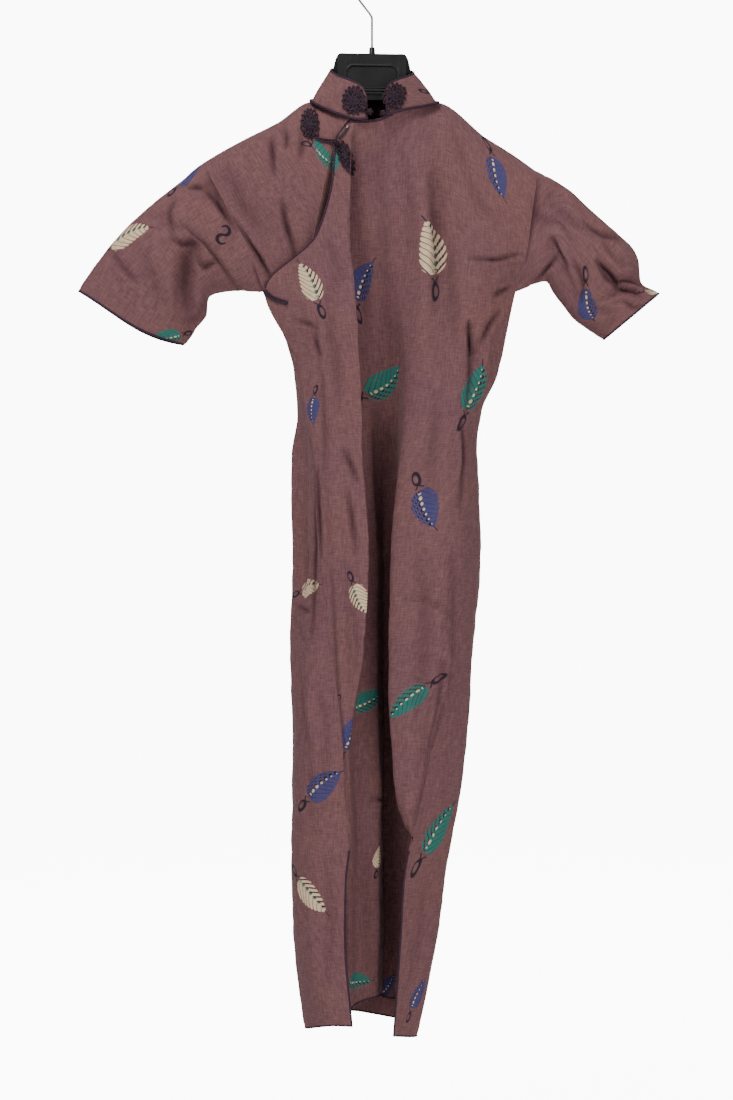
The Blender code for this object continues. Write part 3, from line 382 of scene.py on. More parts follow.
# Creases that the photo shows, by piece, and similar ones on the sides that it hides.
FRONT_CREASES = (
    Crease((437, 170, 438, 235, 437, 300), -2.6, 11),
    Crease((447, 240, 452, 290, 455, 345), -2.2, 10),
    Crease((425, 180, 428, 240, 424, 320), 1.8, 9),
    Crease((470, 258, 492, 260, 520, 255), -1.6, 5, Shape.SHARP),
    Crease((510, 287, 503, 292, 495, 295), -1.8, 5, Shape.SHARP),
    Crease((500, 312, 488, 328, 480, 343), -2.2, 7, Shape.SHARP),
    Crease((471, 330, 472, 370, 470, 410), -2.8, 7, Shape.STEP),
    Crease((468, 322, 471, 343, 473, 363), -3.4, 3.5, Shape.SHARP),
    Crease((465, 470, 464, 490, 463, 510), -1.8, 6),
    Crease((489, 330, 486, 375, 478, 412), 1.8, 8),
    Crease((430, 395, 433, 450, 428, 500), -1.6, 12),
    Crease((445, 520, 440, 600, 436, 690), 1.8, 14),
    Crease((420, 560, 424, 640, 416, 730), -1.8, 10),
    Crease((452, 560, 455, 620, 449, 690), -1.5, 8),
    Crease((312, 330, 315, 345, 318, 358), -1.8, 5, Shape.SHARP),
    Crease((295, 322, 306, 324, 318, 328), -1.6, 5, Shape.SHARP),
    Crease((325, 300, 333, 350, 336, 410), -2.0, 9),
    Crease((343, 450, 350, 465, 357, 480), -1.8, 5, Shape.SHARP),
    Crease((330, 470, 337, 560, 345, 640), 1.4, 9),
    Crease((345, 560, 348, 620, 350, 690), -1.3, 8),
    Crease((326, 240, 333, 262, 336, 300), -1.6, 8),
    Crease((380, 160, 383, 230, 385, 330), -1.4, 12),
    Crease((368, 210, 373, 300, 376, 420), 1.2, 10),
    Crease((470, 180, 483, 205, 498, 226), -1.6, 10),
    Crease((455, 128, 463, 150, 470, 178), -1.4, 8),
    Crease((490, 215, 505, 240, 512, 270), 1.5, 9),
    Crease((432, 700, 425, 745, 417, 790), -1.4, 7),
    Crease((370, 797, 380, 800, 390, 797), -1.2, 4, Shape.SHARP),
    Crease((366, 850, 368, 910, 366, 970), -1.0, 8),
    Crease((316, 468, 319, 520, 321, 558), -3.6, 3.6, Shape.SHARP),
    Crease((318, 360, 321, 420, 322, 470), -1.8, 5),
    Crease((449, 640, 444, 695, 432, 765, 418, 835), 2.4, 5, Shape.STEP),
    Crease((442, 660, 437, 710, 425, 775, 411, 838), -1.0, 4, Shape.SHARP),
    Crease((331, 570, 335, 650, 343, 740, 349, 820), -0.9, 4, Shape.SHARP),
    Crease((374, 395, 380, 460, 382, 535), -2.8, 13),
    Crease((404, 600, 430, 606, 462, 622), -1.3, 6),
    Crease((400, 640, 425, 652, 455, 660), 1.2, 8),
    Crease((462, 420, 466, 455, 462, 490), -2.0, 5, Shape.SHARP),
    Crease((440, 660, 438, 720, 428, 780), -1.4, 6),
    Crease((348, 490, 352, 520, 355, 550), -1.6, 5, Shape.SHARP),
    Crease((352, 600, 356, 640, 352, 690), -1.4, 6),
    Crease((405, 150, 408, 200, 404, 260), -1.2, 9),
)
BACK_CREASES = (
    Crease((313, 480, 314, 560, 311, 640), -1.8, 5, Shape.STEP),
    Crease((295, 605, 303, 609, 310, 612), -1.5, 4, Shape.SHARP),
    Crease((295, 620, 301, 636, 305, 650), -1.3, 5),
    Crease((311, 430, 313, 465, 313, 500), -1.6, 6),
    Crease((300, 700, 308, 750, 312, 830), -1.2, 8),
    Crease((326, 860, 330, 920, 327, 985), -1.3, 9),
    Crease((308, 900, 312, 950, 316, 1000), 1.2, 8),
    Crease((425, 880, 420, 930, 412, 985), -1.3, 8),
    Crease((440, 760, 436, 800, 428, 838), 1.2, 7),
    Crease((408, 905, 405, 950, 402, 1000), 1.0, 6),
    Crease((317, 640, 309, 690, 305, 740, 302, 800), 1.4, 5, Shape.STEP),
    Crease((303, 520, 305, 560, 302, 600), -1.5, 6),
    Crease((318, 690, 326, 740, 324, 800), -1.3, 7),
    Crease((297, 660, 301, 700, 299, 745), -1.2, 6),
    Crease((-95, -300, -70, -380, -60, -470), -3.2, 13),
    Crease((100, -310, 88, -400, 92, -500), -3.0, 14),
    Crease((-20, -240, -14, -380, -24, -560), 2.6, 16),
    Crease((35, -260, 48, -420, 40, -600), -2.2, 12),
    Crease((-62, -560, -48, -700, -55, -900), -2.6, 14),
    Crease((92, -600, 80, -760, 88, -930), 2.4, 13),
    Crease((10, -720, 22, -900, 12, -1100), -2.0, 12),
    Crease((-20, -980, -30, -1120, -18, -1300), 2.0, 14),
    Crease((60, -1040, 52, -1180, 60, -1320), -1.8, 11),
    Crease((-140, -330, -110, -345, -84, -338), -1.8, 7, Shape.SHARP),
    Crease((145, -360, 120, -372, 98, -366), -1.8, 7, Shape.SHARP),
    Crease((-40, -655, -5, -662, 30, -650), -1.3, 6, Shape.SHARP),
)
UNDERLAP_CREASES = (
    Crease((231, 221, 250, 245, 262, 262, 270, 277), -4.0, 4.5, Shape.STEP),
    Crease((271, 135, 272, 155, 273, 175), -1.8, 6, Shape.SHARP),
    Crease((282, 125, 285, 138, 287, 150), -1.5, 5, Shape.SHARP),
    Crease((300, 130, 301, 145, 300, 160), -1.5, 6, Shape.SHARP),
    Crease((281, 200, 287, 225, 297, 268), -2.2, 6, Shape.SHARP),
    Crease((225, 165, 240, 205, 262, 240), -2.0, 10),
    Crease((250, 150, 262, 190, 275, 225), 1.6, 9),
    Crease((300, 178, 304, 215, 303, 250), 1.4, 7),
)
LEFT_CREASES = (
    Crease((205, 188, 221, 207, 238, 230), -3.8, 5, Shape.STEP),
    Crease((265, 262, 272, 275, 278, 284), -2.6, 4, Shape.SHARP),
    Crease((183, 222, 208, 242, 237, 290), -2.6, 5, Shape.STEP),
    Crease((170, 238, 185, 244, 195, 243), -1.8, 5, Shape.SHARP),
    Crease((187, 187, 196, 188, 205, 188), -1.8, 5, Shape.SHARP),
    Crease((191, 240, 187, 275, 192, 318), -7.0, 13),
    Crease((140, 245, 150, 272, 158, 305), -1.6, 9),
    Crease((118, 262, 128, 285, 133, 312), 1.5, 8),
    Crease((168, 262, 172, 290, 170, 322), 1.6, 8),
    Crease((150, 215, 172, 226, 196, 231), -1.3, 7),
    Crease((197, 262, 205, 268, 218, 262), -2.0, 6, Shape.SHARP),
    Crease((205, 180, 222, 205, 236, 240), -1.5, 8),
    Crease((176, 200, 168, 215, 172, 235), -1.6, 6, Shape.SHARP),
    Crease((238, 160, 243, 175, 243, 190), -1.5, 6, Shape.SHARP),
    Crease((207, 300, 200, 320, 190, 330), -1.6, 7),
    Crease((112, 250, 124, 268, 138, 282), -1.4, 6, Shape.SHARP),
    Crease((-300, -330, -285, -380, -290, -430), -2.2, 10),
    Crease((-255, -300, -235, -350, -225, -400), 2.0, 9),
    Crease((-340, -370, -325, -410, -322, -440), 1.8, 8),
)
RIGHT_CREASES = (
    Crease((535, 180, 529, 215, 522, 262), -2.6, 6, Shape.STEP),
    Crease((557, 258, 548, 267, 535, 282), -2.2, 6, Shape.SHARP),
    Crease((552, 240, 568, 262, 580, 290), 2.4, 8),
    Crease((599, 264, 618, 284, 655, 295), -4.4, 7, Shape.STEP),
    Crease((596, 262, 611, 276, 622, 290, 642, 297), -3.0, 4, Shape.SHARP),
    Crease((550, 238, 560, 252, 569, 266), -2.2, 4, Shape.SHARP),
    Crease((600, 300, 620, 292, 640, 300), -1.8, 6),
    Crease((548, 195, 566, 215, 590, 232), -1.8, 9),
    Crease((570, 208, 588, 240, 596, 262), 1.7, 9),
    Crease((603, 240, 616, 255, 632, 262), -1.8, 7),
    Crease((590, 300, 604, 312, 612, 326), -1.4, 7),
    Crease((524, 200, 545, 222, 575, 245), -2.0, 7),
    Crease((585, 222, 600, 232, 622, 238), -1.8, 6, Shape.SHARP),
    Crease((575, 262, 583, 280, 580, 300), -1.8, 7, Shape.SHARP),
    Crease((620, 300, 632, 308, 645, 306), -1.5, 6, Shape.SHARP),
    Crease((262, -310, 270, -360, 262, -420), -2.0, 10),
    Crease((310, -350, 322, -400, 330, -450), 2.0, 9),
)

# The scattered leaf print, by piece.
FRONT_MOTIFS = (
    Motif((309, 280), 110, 52, Print.CREAM),
    Motif((311, 412), -87, 34, Print.BLUE),
    Motif((365, 280), 65, 56, Print.BLUE, -0.2),
    Motif((431, 247), 101, 67, Print.CREAM, 0.3),
    Motif((497, 178), -77, 54, Print.BLUE),
    Motif((386, 382), 44, 64, Print.TEAL, 0.3),
    Motif((477, 389), 70, 60, Print.TEAL, 0.2),
    Motif((426, 510), -71, 58, Print.BLUE, 0.2),
    Motif((360, 600), -60, 40, Print.CREAM),
    Motif((370, 699), 30, 48, Print.TEAL, 0.2),
    Motif((408, 701), -146, 54, Print.TEAL, 0.3),
    Motif((350, 732), 68, 46, Print.BLUE),
    Motif((381, 857), 80, 30, Print.CREAM),
    Motif((358, 980), 8, 40, Print.TEAL, 0.2),
    Motif((388, 984), 60, 34, Print.BLUE),
    Motif((329, 158), -36, 38, Print.TEAL),
    Motif((335, 695), -20, 12, Print.CURL),
)
UNDERLAP_MOTIFS = (Motif((327, 158), -36, 38, Print.TEAL),)
BACK_MOTIFS = (
    Motif((312, 414), -87, 36, Print.BLUE),
    Motif((307, 588), 24, 42, Print.CREAM),
    Motif((325, 784), 38, 56, Print.BLUE, 0.25),
    Motif((439, 828), 56, 66, Print.TEAL, 0.3),
    Motif((309, 896), -48, 54, Print.CREAM, 0.2),
    Motif((420, 995), 60, 36, Print.BLUE),
    Motif((461, 629), -25, 14, Print.CURL),
    Motif((-92, -268), 118, 64, Print.BLUE),
    Motif((30, -290), 62, 68, Print.CREAM),
    Motif((128, -330), -70, 60, Print.TEAL),
    Motif((-40, -400), -110, 64, Print.TEAL, -0.2),
    Motif((70, -455), 80, 66, Print.BLUE, -0.25),
    Motif((-60, -560), 45, 66, Print.CREAM),
    Motif((38, -640), -62, 62, Print.TEAL),
    Motif((-30, -745), 104, 66, Print.BLUE),
    Motif((86, -790), 30, 62, Print.CREAM, -0.2),
    Motif((-62, -880), -58, 62, Print.TEAL),
    Motif((30, -960), 70, 66, Print.BLUE, -0.2),
    Motif((-50, -1080), 130, 64, Print.CREAM),
    Motif((66, -1110), -80, 60, Print.TEAL),
    Motif((-5, -1215), 40, 66, Print.BLUE),
    Motif((-60, -1320), 96, 60, Print.TEAL, -0.2),
    Motif((50, -1310), -120, 58, Print.CREAM),
    Motif((10, -510), 20, 16, Print.CURL),
    Motif((-8, -1040), -30, 16, Print.CURL),
    Motif((95, -1240), 35, 16, Print.CURL),
)
LEFT_MOTIFS = (
    Motif((131, 234), 25, 48, Print.CREAM),
    Motif((224, 236), 75, 26, Print.CURL),
    Motif((165, 338), -160, 42, Print.TEAL),
    Motif((189, 172), 40, 40, Print.BLUE),
    Motif((-300, -380), 70, 58, Print.TEAL),
    Motif((-235, -330), -120, 56, Print.CREAM),
    Motif((-345, -440), 100, 44, Print.BLUE),
)
RIGHT_MOTIFS = (
    Motif((586, 310), -80, 48, Print.BLUE),
    Motif((653, 289), 20, 20, Print.CREAM),
    Motif((270, -360), 110, 58, Print.CREAM),
    Motif((325, -420), -70, 54, Print.TEAL),
)
COLLAR_MOTIFS = (Motif((425, 92), 25, 34, Print.RING),)


def slopes(knots: np.ndarray, values: np.ndarray) -> np.ndarray:
    """Slopes of the smooth line through values that doesn't swing past them.

    Args:
        knots: distances along the line.
        values: the values there, a row for each.

    Returns:
        The slope at each knot.
    """
    steps = np.diff(knots)
    rises = np.diff(values, axis=0) / steps[:, None]
    found = np.zeros_like(values)
    if len(values) == 2:
        found[:] = rises[0]
        return found
    before = steps[:-1, None]
    after = steps[1:, None]
    first = rises[:-1]
    second = rises[1:]
    same_way = first * second > 0
    weight_a = 2 * after + before
    weight_b = after + 2 * before
    mean = np.zeros_like(first)
    spread = weight_a / np.where(same_way, first, 1) + weight_b / np.where(same_way, second, 1)
    np.divide(weight_a + weight_b, spread, out=mean, where=same_way)
    found[1:-1] = mean
    found[0] = rises[0]
    found[-1] = rises[-1]
    return found


def at_knots(knots: np.ndarray, values: np.ndarray, places: np.ndarray) -> np.ndarray:
    """The values of the smooth line through (knots, values) at each of the places.

    Args:
        knots: distances along the line.
        values: the values there, a row for each.
        places: distances at which to read the line.

    Returns:
        A row of values for each place.
    """
    knots = np.asarray(knots, float)
    values = np.asarray(values, float)
    places = np.clip(places, knots[0], knots[-1])
    tangents = slopes(knots, values)
    index = np.clip(np.searchsorted(knots, places, side="right") - 1, 0, len(knots) - 2)
    wide = (knots[index + 1] - knots[index])[:, None]
    part = (places[:, None] - knots[index][:, None]) / wide
    return (
        (2 * part**3 - 3 * part**2 + 1) * values[index]
        + (part**3 - 2 * part**2 + part) * wide * tangents[index]
        + (-2 * part**3 + 3 * part**2) * values[index + 1]
        + (part**3 - part**2) * wide * tangents[index + 1]
    )


def lengths_along(points: np.ndarray) -> np.ndarray:
    """Distance along a line of points, from its start."""
    spans = np.linalg.norm(np.diff(points, axis=0), axis=1)
    return np.concatenate([[0.0], np.cumsum(np.maximum(spans, 1e-6))])


def smooth_line(points: Sequence, steps: int | Sequence[int]) -> np.ndarray:
    """A smooth line through the points.

    Args:
        points: the places it passes.
        steps: how many pieces each span gets, or one number for each span.

    Returns:
        The line's points.
    """
    points = np.asarray(points, float)
    knots = lengths_along(points)
    counts = [steps] * (len(points) - 1) if isinstance(steps, int) else steps
    places = [
        start + (end - start) * i / count
        for start, end, count in zip(knots[:-1], knots[1:], counts)
        for i in range(count)
    ]
    return at_knots(knots, points, np.append(places, knots[-1]))


def smooth_grid(rows: Sequence, across: int, up: Sequence[int]) -> np.ndarray:
    """A smooth sheet through rows of places.

    Args:
        rows: the rows, from the lowest up.
        across: pieces of each span across.
        up: pieces of each span up.

    Returns:
        The grid of points.
    """
    lined = np.array([smooth_line(row, across) for row in rows])
    columns = [smooth_line(lined[:, i], up) for i in range(lined.shape[1])]
    return np.stack(columns, axis=1)


def span_steps(rows: Sequence, step: float) -> list[int]:
    """How many pieces each span between rows gets, for pieces of about one step.

    Args:
        rows: the rows.
        step: the pieces' length.

    Returns:
        A number for each span.
    """
    points = np.array(rows, float)
    spans = np.linalg.norm(np.diff(points, axis=0), axis=2).mean(axis=1)
    return [max(2, round(span / step)) for span in spans]


def resample(points: np.ndarray, cut_start: float, cut_end: float) -> np.ndarray:
    """The same line with lengths cut off at its start and end, its points spread as before.

    Args:
        points: the line.
        cut_start: length to cut at its start.
        cut_end: length to cut at its end.

    Returns:
        The shorter line.
    """
    knots = lengths_along(points)
    scale = (knots[-1] - cut_start - cut_end) / knots[-1]
    return at_knots(knots, points, cut_start + knots * scale)


def trim_rows(grid: np.ndarray, cut_left: Sequence[float], cut_right: Sequence[float]) -> np.ndarray:
    """Cuts the two ends of each row."""
    return np.array([resample(row, a, b) for row, a, b in zip(grid, cut_left, cut_right)])


def trim_columns(grid: np.ndarray, cut_low: float, cut_high: float) -> np.ndarray:
    """Cuts the two ends of each column."""
    cut = [resample(column, cut_low, cut_high) for column in grid.transpose(1, 0, 2)]
    return np.array(cut).transpose(1, 0, 2)


def unit(vectors: np.ndarray) -> np.ndarray:
    """Vectors of length one."""
    return vectors / np.maximum(np.linalg.norm(vectors, axis=-1, keepdims=True), 1e-9)


def soft_noise(across: np.ndarray, up: np.ndarray, size: float, seed: int) -> np.ndarray:
    """Smooth random swells between -1 and 1, the same on every run.

    Args:
        across: first place of each point, in millimetres.
        up: second place of each point.
        size: distance between swells.
        seed: which swells.

    Returns:
        The swell at each point.
    """
    cells = 128
    lattice = np.random.default_rng(seed).uniform(-1, 1, (cells, cells))
    x = across / size
    y = up / size
    column = np.floor(x).astype(int)
    row = np.floor(y).astype(int)
    part_x = x - column
    part_y = y - row
    part_x = part_x * part_x * (3 - 2 * part_x)
    part_y = part_y * part_y * (3 - 2 * part_y)
    lines = []
    for shift in (0, 1):
        at = (row + shift) % cells
        lines.append(lattice[at, column % cells] * (1 - part_x) + lattice[at, (column + 1) % cells] * part_x)
    return lines[0] * (1 - part_y) + lines[1] * part_y


def nearest_on_line(line: np.ndarray, across: np.ndarray, up: np.ndarray) -> tuple[np.ndarray, ...]:
    """How points lie to a line.

    Args:
        line: the line's points.
        across: each point's first place.
        up: its second place.

    Returns:
        Their distance, how far along the line they are from 0 to 1, and a number above 0 on its left.
    """
    best = np.full(across.shape, np.inf)
    along = np.zeros(across.shape)
    signed = np.zeros(across.shape)
    for i, (a, b) in enumerate(zip(line[:-1], line[1:])):
        way = b - a
        part = np.clip(((across - a[0]) * way[0] + (up - a[1]) * way[1]) / (way @ way), 0, 1)
        gap_x = across - (a[0] + part * way[0])
        gap_y = up - (a[1] + part * way[1])
        gap = np.hypot(gap_x, gap_y)
        nearer = gap < best
        best = np.where(nearer, gap, best)
        along = np.where(nearer, (i + part) / (len(line) - 1), along)
        signed = np.where(nearer, way[0] * gap_y - way[1] * gap_x, signed)
    return best, along, signed


def link(obj: bpy.types.Object) -> bpy.types.Object:
    """Puts an object in the scene."""
    bpy.context.scene.collection.objects.link(obj)
    return obj


def mesh_piece(name: str, points: np.ndarray, faces: Sequence, material: Material) -> bpy.types.Object:
    """A named mesh from points in millimetres, with smooth sides.

    Args:
        name: the piece's name.
        points: its points.
        faces: its faces, pointing outwards.
        material: its finish.

    Returns:
        The new object, at the origin.
    """
    mesh = bpy.data.meshes.new(name)
    mesh.from_pydata((np.asarray(points, float) * MM).tolist(), [], [tuple(face) for face in faces])
    mesh.validate()
    mesh.polygons.foreach_set("use_smooth", np.ones(len(mesh.polygons), bool))
    mesh.set_sharp_from_angle(angle=math.radians(SHARP_ABOVE))
    mesh.materials.append(material)
    return link(bpy.data.objects.new(name, mesh))


def solid_piece(name: str, points: np.ndarray, faces: Sequence, material: Material) -> bpy.types.Object:
    """A named mesh whose faces all point outwards.

    Args:
        name: the piece's name.
        points: its points in millimetres.
        faces: its faces.
        material: its finish.

    Returns:
        The new object.
    """
    obj = mesh_piece(name, points, faces, material)
    face_outward(obj)
    return obj


def ring_faces(rings: int, around: int, closed: bool = False) -> Faces:
    """Faces that join rings of points, with a cap at each end or back on to the first ring.

    Args:
        rings: how many rings there are.
        around: points of each ring.
        closed: whether the last ring joins the first.

    Returns:
        The faces.
    """
    faces = []
    for i in range(rings if closed else rings - 1):
        j = (i + 1) % rings
        for k in range(around):
            m = (k + 1) % around
            faces.append((i * around + k, i * around + m, j * around + m, j * around + k))
    if not closed:
        faces.append(tuple(reversed(range(around))))
        faces.append(tuple(range((rings - 1) * around, rings * around)))
    return faces


def tube(path: np.ndarray, across: np.ndarray, over: np.ndarray, wide: float, thick: float, closed: bool,
         sides: int = 10) -> tuple[np.ndarray, Faces]:
    """A rounded strip swept along a path.

    Args:
        path: the points it follows.
        across: at each point, the way of its width.
        over: at each point, the way of its thickness.
        wide: half its width.
        thick: half its thickness.
        closed: whether it joins its own start.
        sides: how many sides it has.

    Returns:
        Its points and faces.
    """
    angles = 2 * np.pi * np.arange(sides) / sides
    ring = (
        path[:, None]
        + across[:, None] * (np.cos(angles) * wide)[None, :, None]
        + over[:, None] * (np.sin(angles) * thick)[None, :, None]
    )
    return ring.reshape(-1, 3), ring_faces(len(path), sides, closed)


def cord_frames(path: np.ndarray, closed: bool) -> tuple[np.ndarray, np.ndarray]:
    """Two ways square to a path at each of its points, that don't twist round it.

    Args:
        path: the path's points.
        closed: whether it joins its own start.

    Returns:
        The two ways at each point.
    """
    if closed:
        along = np.roll(path, -1, axis=0) - np.roll(path, 1, axis=0)
    else:
        along = np.gradient(path, axis=0)
    along = unit(along)
    way = np.array([0.0, -1.0, 0.0])
    if abs(along[0] @ way) > 0.9:
        way = np.array([1.0, 0.0, 0.0])
    first = []
    for step in along:
        way = way - step * (way @ step)
        way = way / np.linalg.norm(way)
        first.append(way)
    first = np.array(first)
    return first, np.cross(along, first)


def cord_piece(name: str, paths: Sequence[np.ndarray], radius: float, material: Material,
               closed: bool = False, sides: int = 8) -> bpy.types.Object:
    """Round cords along paths, as one mesh.

    Args:
        name: the piece's name.
        paths: the paths in millimetres.
        radius: half the cord's thickness.
        material: its finish.
        closed: whether each path joins its own start.
        sides: how many sides it has.

    Returns:
        The new object.
    """
    points: list[np.ndarray] = []
    faces: Faces = []
    for path in paths:
        first, second = cord_frames(path, closed)
        ring, sides_of = tube(path, first, second, radius, radius, closed, sides)
        start = sum(len(part) for part in points)
        points.append(ring)
        faces += [tuple(k + start for k in face) for face in sides_of]
    return solid_piece(name, np.concatenate(points), faces, material)


def face_outward(obj: bpy.types.Object) -> None:
    """Turns every face of a closed piece outwards.

    Args:
        obj: the piece.
    """
    work = bmesh.new()
    work.from_mesh(obj.data)
    bmesh.ops.recalc_face_normals(work, faces=work.faces)
    if work.calc_volume(signed=True) < 0:
        bmesh.ops.reverse_faces(work, faces=work.faces)
    work.to_mesh(obj.data)
    work.free()


def finish_piece(obj: bpy.types.Object, slot: str, *nodes: str) -> bpy.types.Object:
    """Rides a piece on the body and hides the CAD nodes that it stands for.

    Args:
        obj: the piece.
        slot: not used.
        nodes: the CAD nodes that it stands for.

    Returns:
        The same piece.
    """
    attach(obj, BODY)
    if nodes:
        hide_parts(*nodes)
    log.info("%s: %d faces", obj.name, len(obj.data.polygons))
    return obj


class Sheet:
    """A sheet of cloth: a grid of points with flat places, its outer side, creases and print."""

    def __init__(self, grid: np.ndarray, facing: int, closed: bool = False, middle: int = 0) -> None:
        """Measures the sheet.

        Args:
            grid: rows of points, from the lowest row up.
            facing: 1 where the grid's own normals point outwards, and -1 where they point in.
            closed: whether each row joins its own start.
            middle: the column from which the flat places across are counted.
        """
        self.grid = grid
        self.facing = facing
        self.closed = closed
        whole = np.concatenate([grid, grid[:, :1]], axis=1) if closed else grid
        steps = np.linalg.norm(np.diff(whole, axis=1), axis=2)
        across = np.concatenate([np.zeros((len(grid), 1)), np.cumsum(steps, axis=1)], axis=1)
        self.across = across - across[:, middle : middle + 1]
        rises = np.linalg.norm(np.diff(grid, axis=0), axis=2).mean(axis=1)
        up = np.concatenate([[0.0], np.cumsum(rises)])
        self.up = np.repeat(up[:, None], whole.shape[1], axis=1)
        self.base = grid.copy()
        # Painted shade along crease troughs, from 0 to 1, standing in for the shadow that falls in the folds
        self.crease_shade = np.zeros(grid.shape[:2])
        self.outward = self.normals()

    def normals(self) -> np.ndarray:
        """The outward direction at every point.

        Returns:
            A direction for each point.
        """
        if self.closed:
            along = np.roll(self.grid, -1, axis=1) - np.roll(self.grid, 1, axis=1)
        else:
            along = np.gradient(self.grid, axis=1)
        return unit(np.cross(along, np.gradient(self.grid, axis=0))) * self.facing

    def find(self, place: Pixel) -> tuple[float, float]:
        """The flat place of a point, seen from the front or, where its height is below 0, from the back.

        Args:
            place: a photo pixel, or across and up in millimetres on a side that the photo hides.

        Returns:
            Its flat place across and up the cloth.
        """
        hidden = place[1] < 0
        return self.find_seen(place if hidden else PHOTO.flat(place), hidden)

    def find_seen(self, place: Pixel, hidden: bool) -> tuple[float, float]:
        """The flat place of a point in millimetres, seen from the back or from the front.

        Args:
            place: across and up in millimetres.
            hidden: whether it is seen from the back.

        Returns:
            Its flat place across and up the cloth.
        """
        if hidden:
            flat = self.base[..., [0, 2]]
            depth = -self.base[..., 1]
        else:
            flat = PHOTO.seen(self.base)
            depth = self.base[..., 1]
        gap = np.hypot(flat[..., 0] - place[0], flat[..., 1] - place[1])
        reach = max(3.4, gap.min() + 1.0)
        ranked = np.where(gap < reach, depth + gap * 1.5, np.inf)
        row, column = np.unravel_index(np.argmin(ranked), gap.shape)
        return float(self.across[row, column]), float(self.up[row, column])

    def edge_taper(self, reach: float) -> np.ndarray:
        """Zero at the sheet's open edges, rising to one within a reach of them.

        Args:
            reach: the width of the strip in which it rises.

        Returns:
            A number for each point.
        """
        inner = self.across[:, : self.grid.shape[1]]
        up = self.up[:, : self.grid.shape[1]]
        gap = np.minimum(up - up[0], up[-1] - up)
        if not self.closed:
            gap = np.minimum(gap, np.minimum(inner - inner[:, :1], inner[:, -1:] - inner))
        part = np.clip(gap / reach, 0, 1)
        return part * part * (3 - 2 * part)

    def swell(self, creases: Sequence[Crease], rumple: float, seed: int) -> None:
        """Presses creases and ridges into the sheet, and soft random swells.

        Args:
            creases: the creases and ridges.
            rumple: height of the random swells.
            seed: which swells.
        """
        columns = self.grid.shape[1]
        across = self.across[:, :columns]
        up = self.up[:, :columns]
        height = np.zeros(across.shape)
        for crease in creases:
            height += self.crease_height(crease, across, up)
        height += rumple * 1.9 * soft_noise(across, up * 0.24, 24.0, seed)
        height += rumple * 0.9 * soft_noise(across + 0.5 * up, up * 0.8, 38.0, seed + 1)
        height += rumple * 0.7 * soft_noise(across - 0.6 * up, up, 15.0, seed + 2)
        height += rumple * 0.25 * soft_noise(across, up * 0.7, 7.0, seed + 3)
        height *= self.edge_taper(9.0)
        self.grid = self.base + self.outward * height[..., None]
        self.outward = self.normals()

    def crease_height(self, crease: Crease, across: np.ndarray, up: np.ndarray) -> np.ndarray:
        """The height that one crease adds at each point. A trough's floor is also marked for painted shade.

        Args:
            crease: the crease.
            across: each point's flat place across.
            up: its flat place up.

        Returns:
            The height at each point.
        """
        places = zip(crease.line[::2], crease.line[1::2])
        line = smooth_line([self.find(place) for place in places], 6)
        best, along, signed = nearest_on_line(line, across, up)
        taper = np.sin(np.pi * np.clip(along * 0.84 + 0.08, 0, 1)) ** 0.7
        far = best / crease.wide
        if crease.shape is Shape.SOFT:
            profile = np.exp(-(far**2))
        elif crease.shape is Shape.SHARP:
            profile = np.exp(-1.6 * far) - 0.35 * np.exp(-((far - 1.3) ** 2) * 2)
        else:
            way = np.where(signed >= 0, 1.0, -1.0)
            profile = np.exp(-1.4 * far) - 0.55 * way * far * np.exp(-(far**2) / 1.6)
        # Painted shade: a trough's floor is marked for darkening, where shadow falls in the crease
        if crease.height < 0:
            reach = 3.8
            depth = min(1.0, -crease.height / 2.0)
            if crease.shape is Shape.SOFT:
                reach = 0.8 * crease.wide
                depth = 0.45 * min(1.8, -crease.height / 2.4)
            self.crease_shade = np.maximum(self.crease_shade, np.exp(-((best / reach) ** 2)) * taper * depth)
        return 2.3 * crease.height * profile * taper

    def shell(self, name: str, thick: float, material: Material, motifs: Sequence[Motif]) -> bpy.types.Object:
        """Makes the sheet a closed thin shell with its print.

        Args:
            name: the piece's name.
            thick: its thickness.
            material: its finish.
            motifs: the motifs printed on its outer side.

        Returns:
            The new object.
        """
        rows, columns = self.grid.shape[:2]
        count = rows * columns
        half = self.outward * thick / 2
        points = np.concatenate([(self.grid + half).reshape(-1, 3), (self.grid - half).reshape(-1, 3)])
        last = columns if self.closed else columns - 1
        i, j = np.meshgrid(np.arange(rows - 1), np.arange(last), indexing="ij")
        i = i.ravel()
        j = j.ravel()
        row = np.stack([i, i, i + 1, i + 1], axis=1)
        column = np.stack([j, j + 1, j + 1, j], axis=1)
        if self.facing < 0:
            row = row[:, ::-1]
            column = column[:, ::-1]
        corners = row * columns + column % columns
        flat = np.stack([self.across[row, column], self.up[row, column]], axis=-1)
        inner = corners[:, ::-1] + count
        rims, rim_flat = self.rims(rows, columns, count)
        faces = np.concatenate([corners, inner, rims])
        all_flat = np.concatenate([flat, flat[:, ::-1], rim_flat])
        obj = mesh_piece(name, points, faces.tolist(), material)
        mesh = obj.data
        if len(mesh.polygons) != len(faces):
            raise ValueError(f"{name} lost faces")
        cloth_uv = mesh.uv_layers.new(name="cloth")
        cloth_uv.data.foreach_set("uv", (all_flat * MM).astype(np.float32).ravel())
        # The painted crease shade, carried to the material as a point attribute
        crease_shade = mesh.attributes.new("crease_shade", "FLOAT", "POINT")
        crease_shade.data.foreach_set("value", np.tile(self.crease_shade.ravel(), 2).astype(np.float32))
        self.print_motifs(mesh, all_flat, len(corners), motifs)
        face_outward(obj)
        return obj

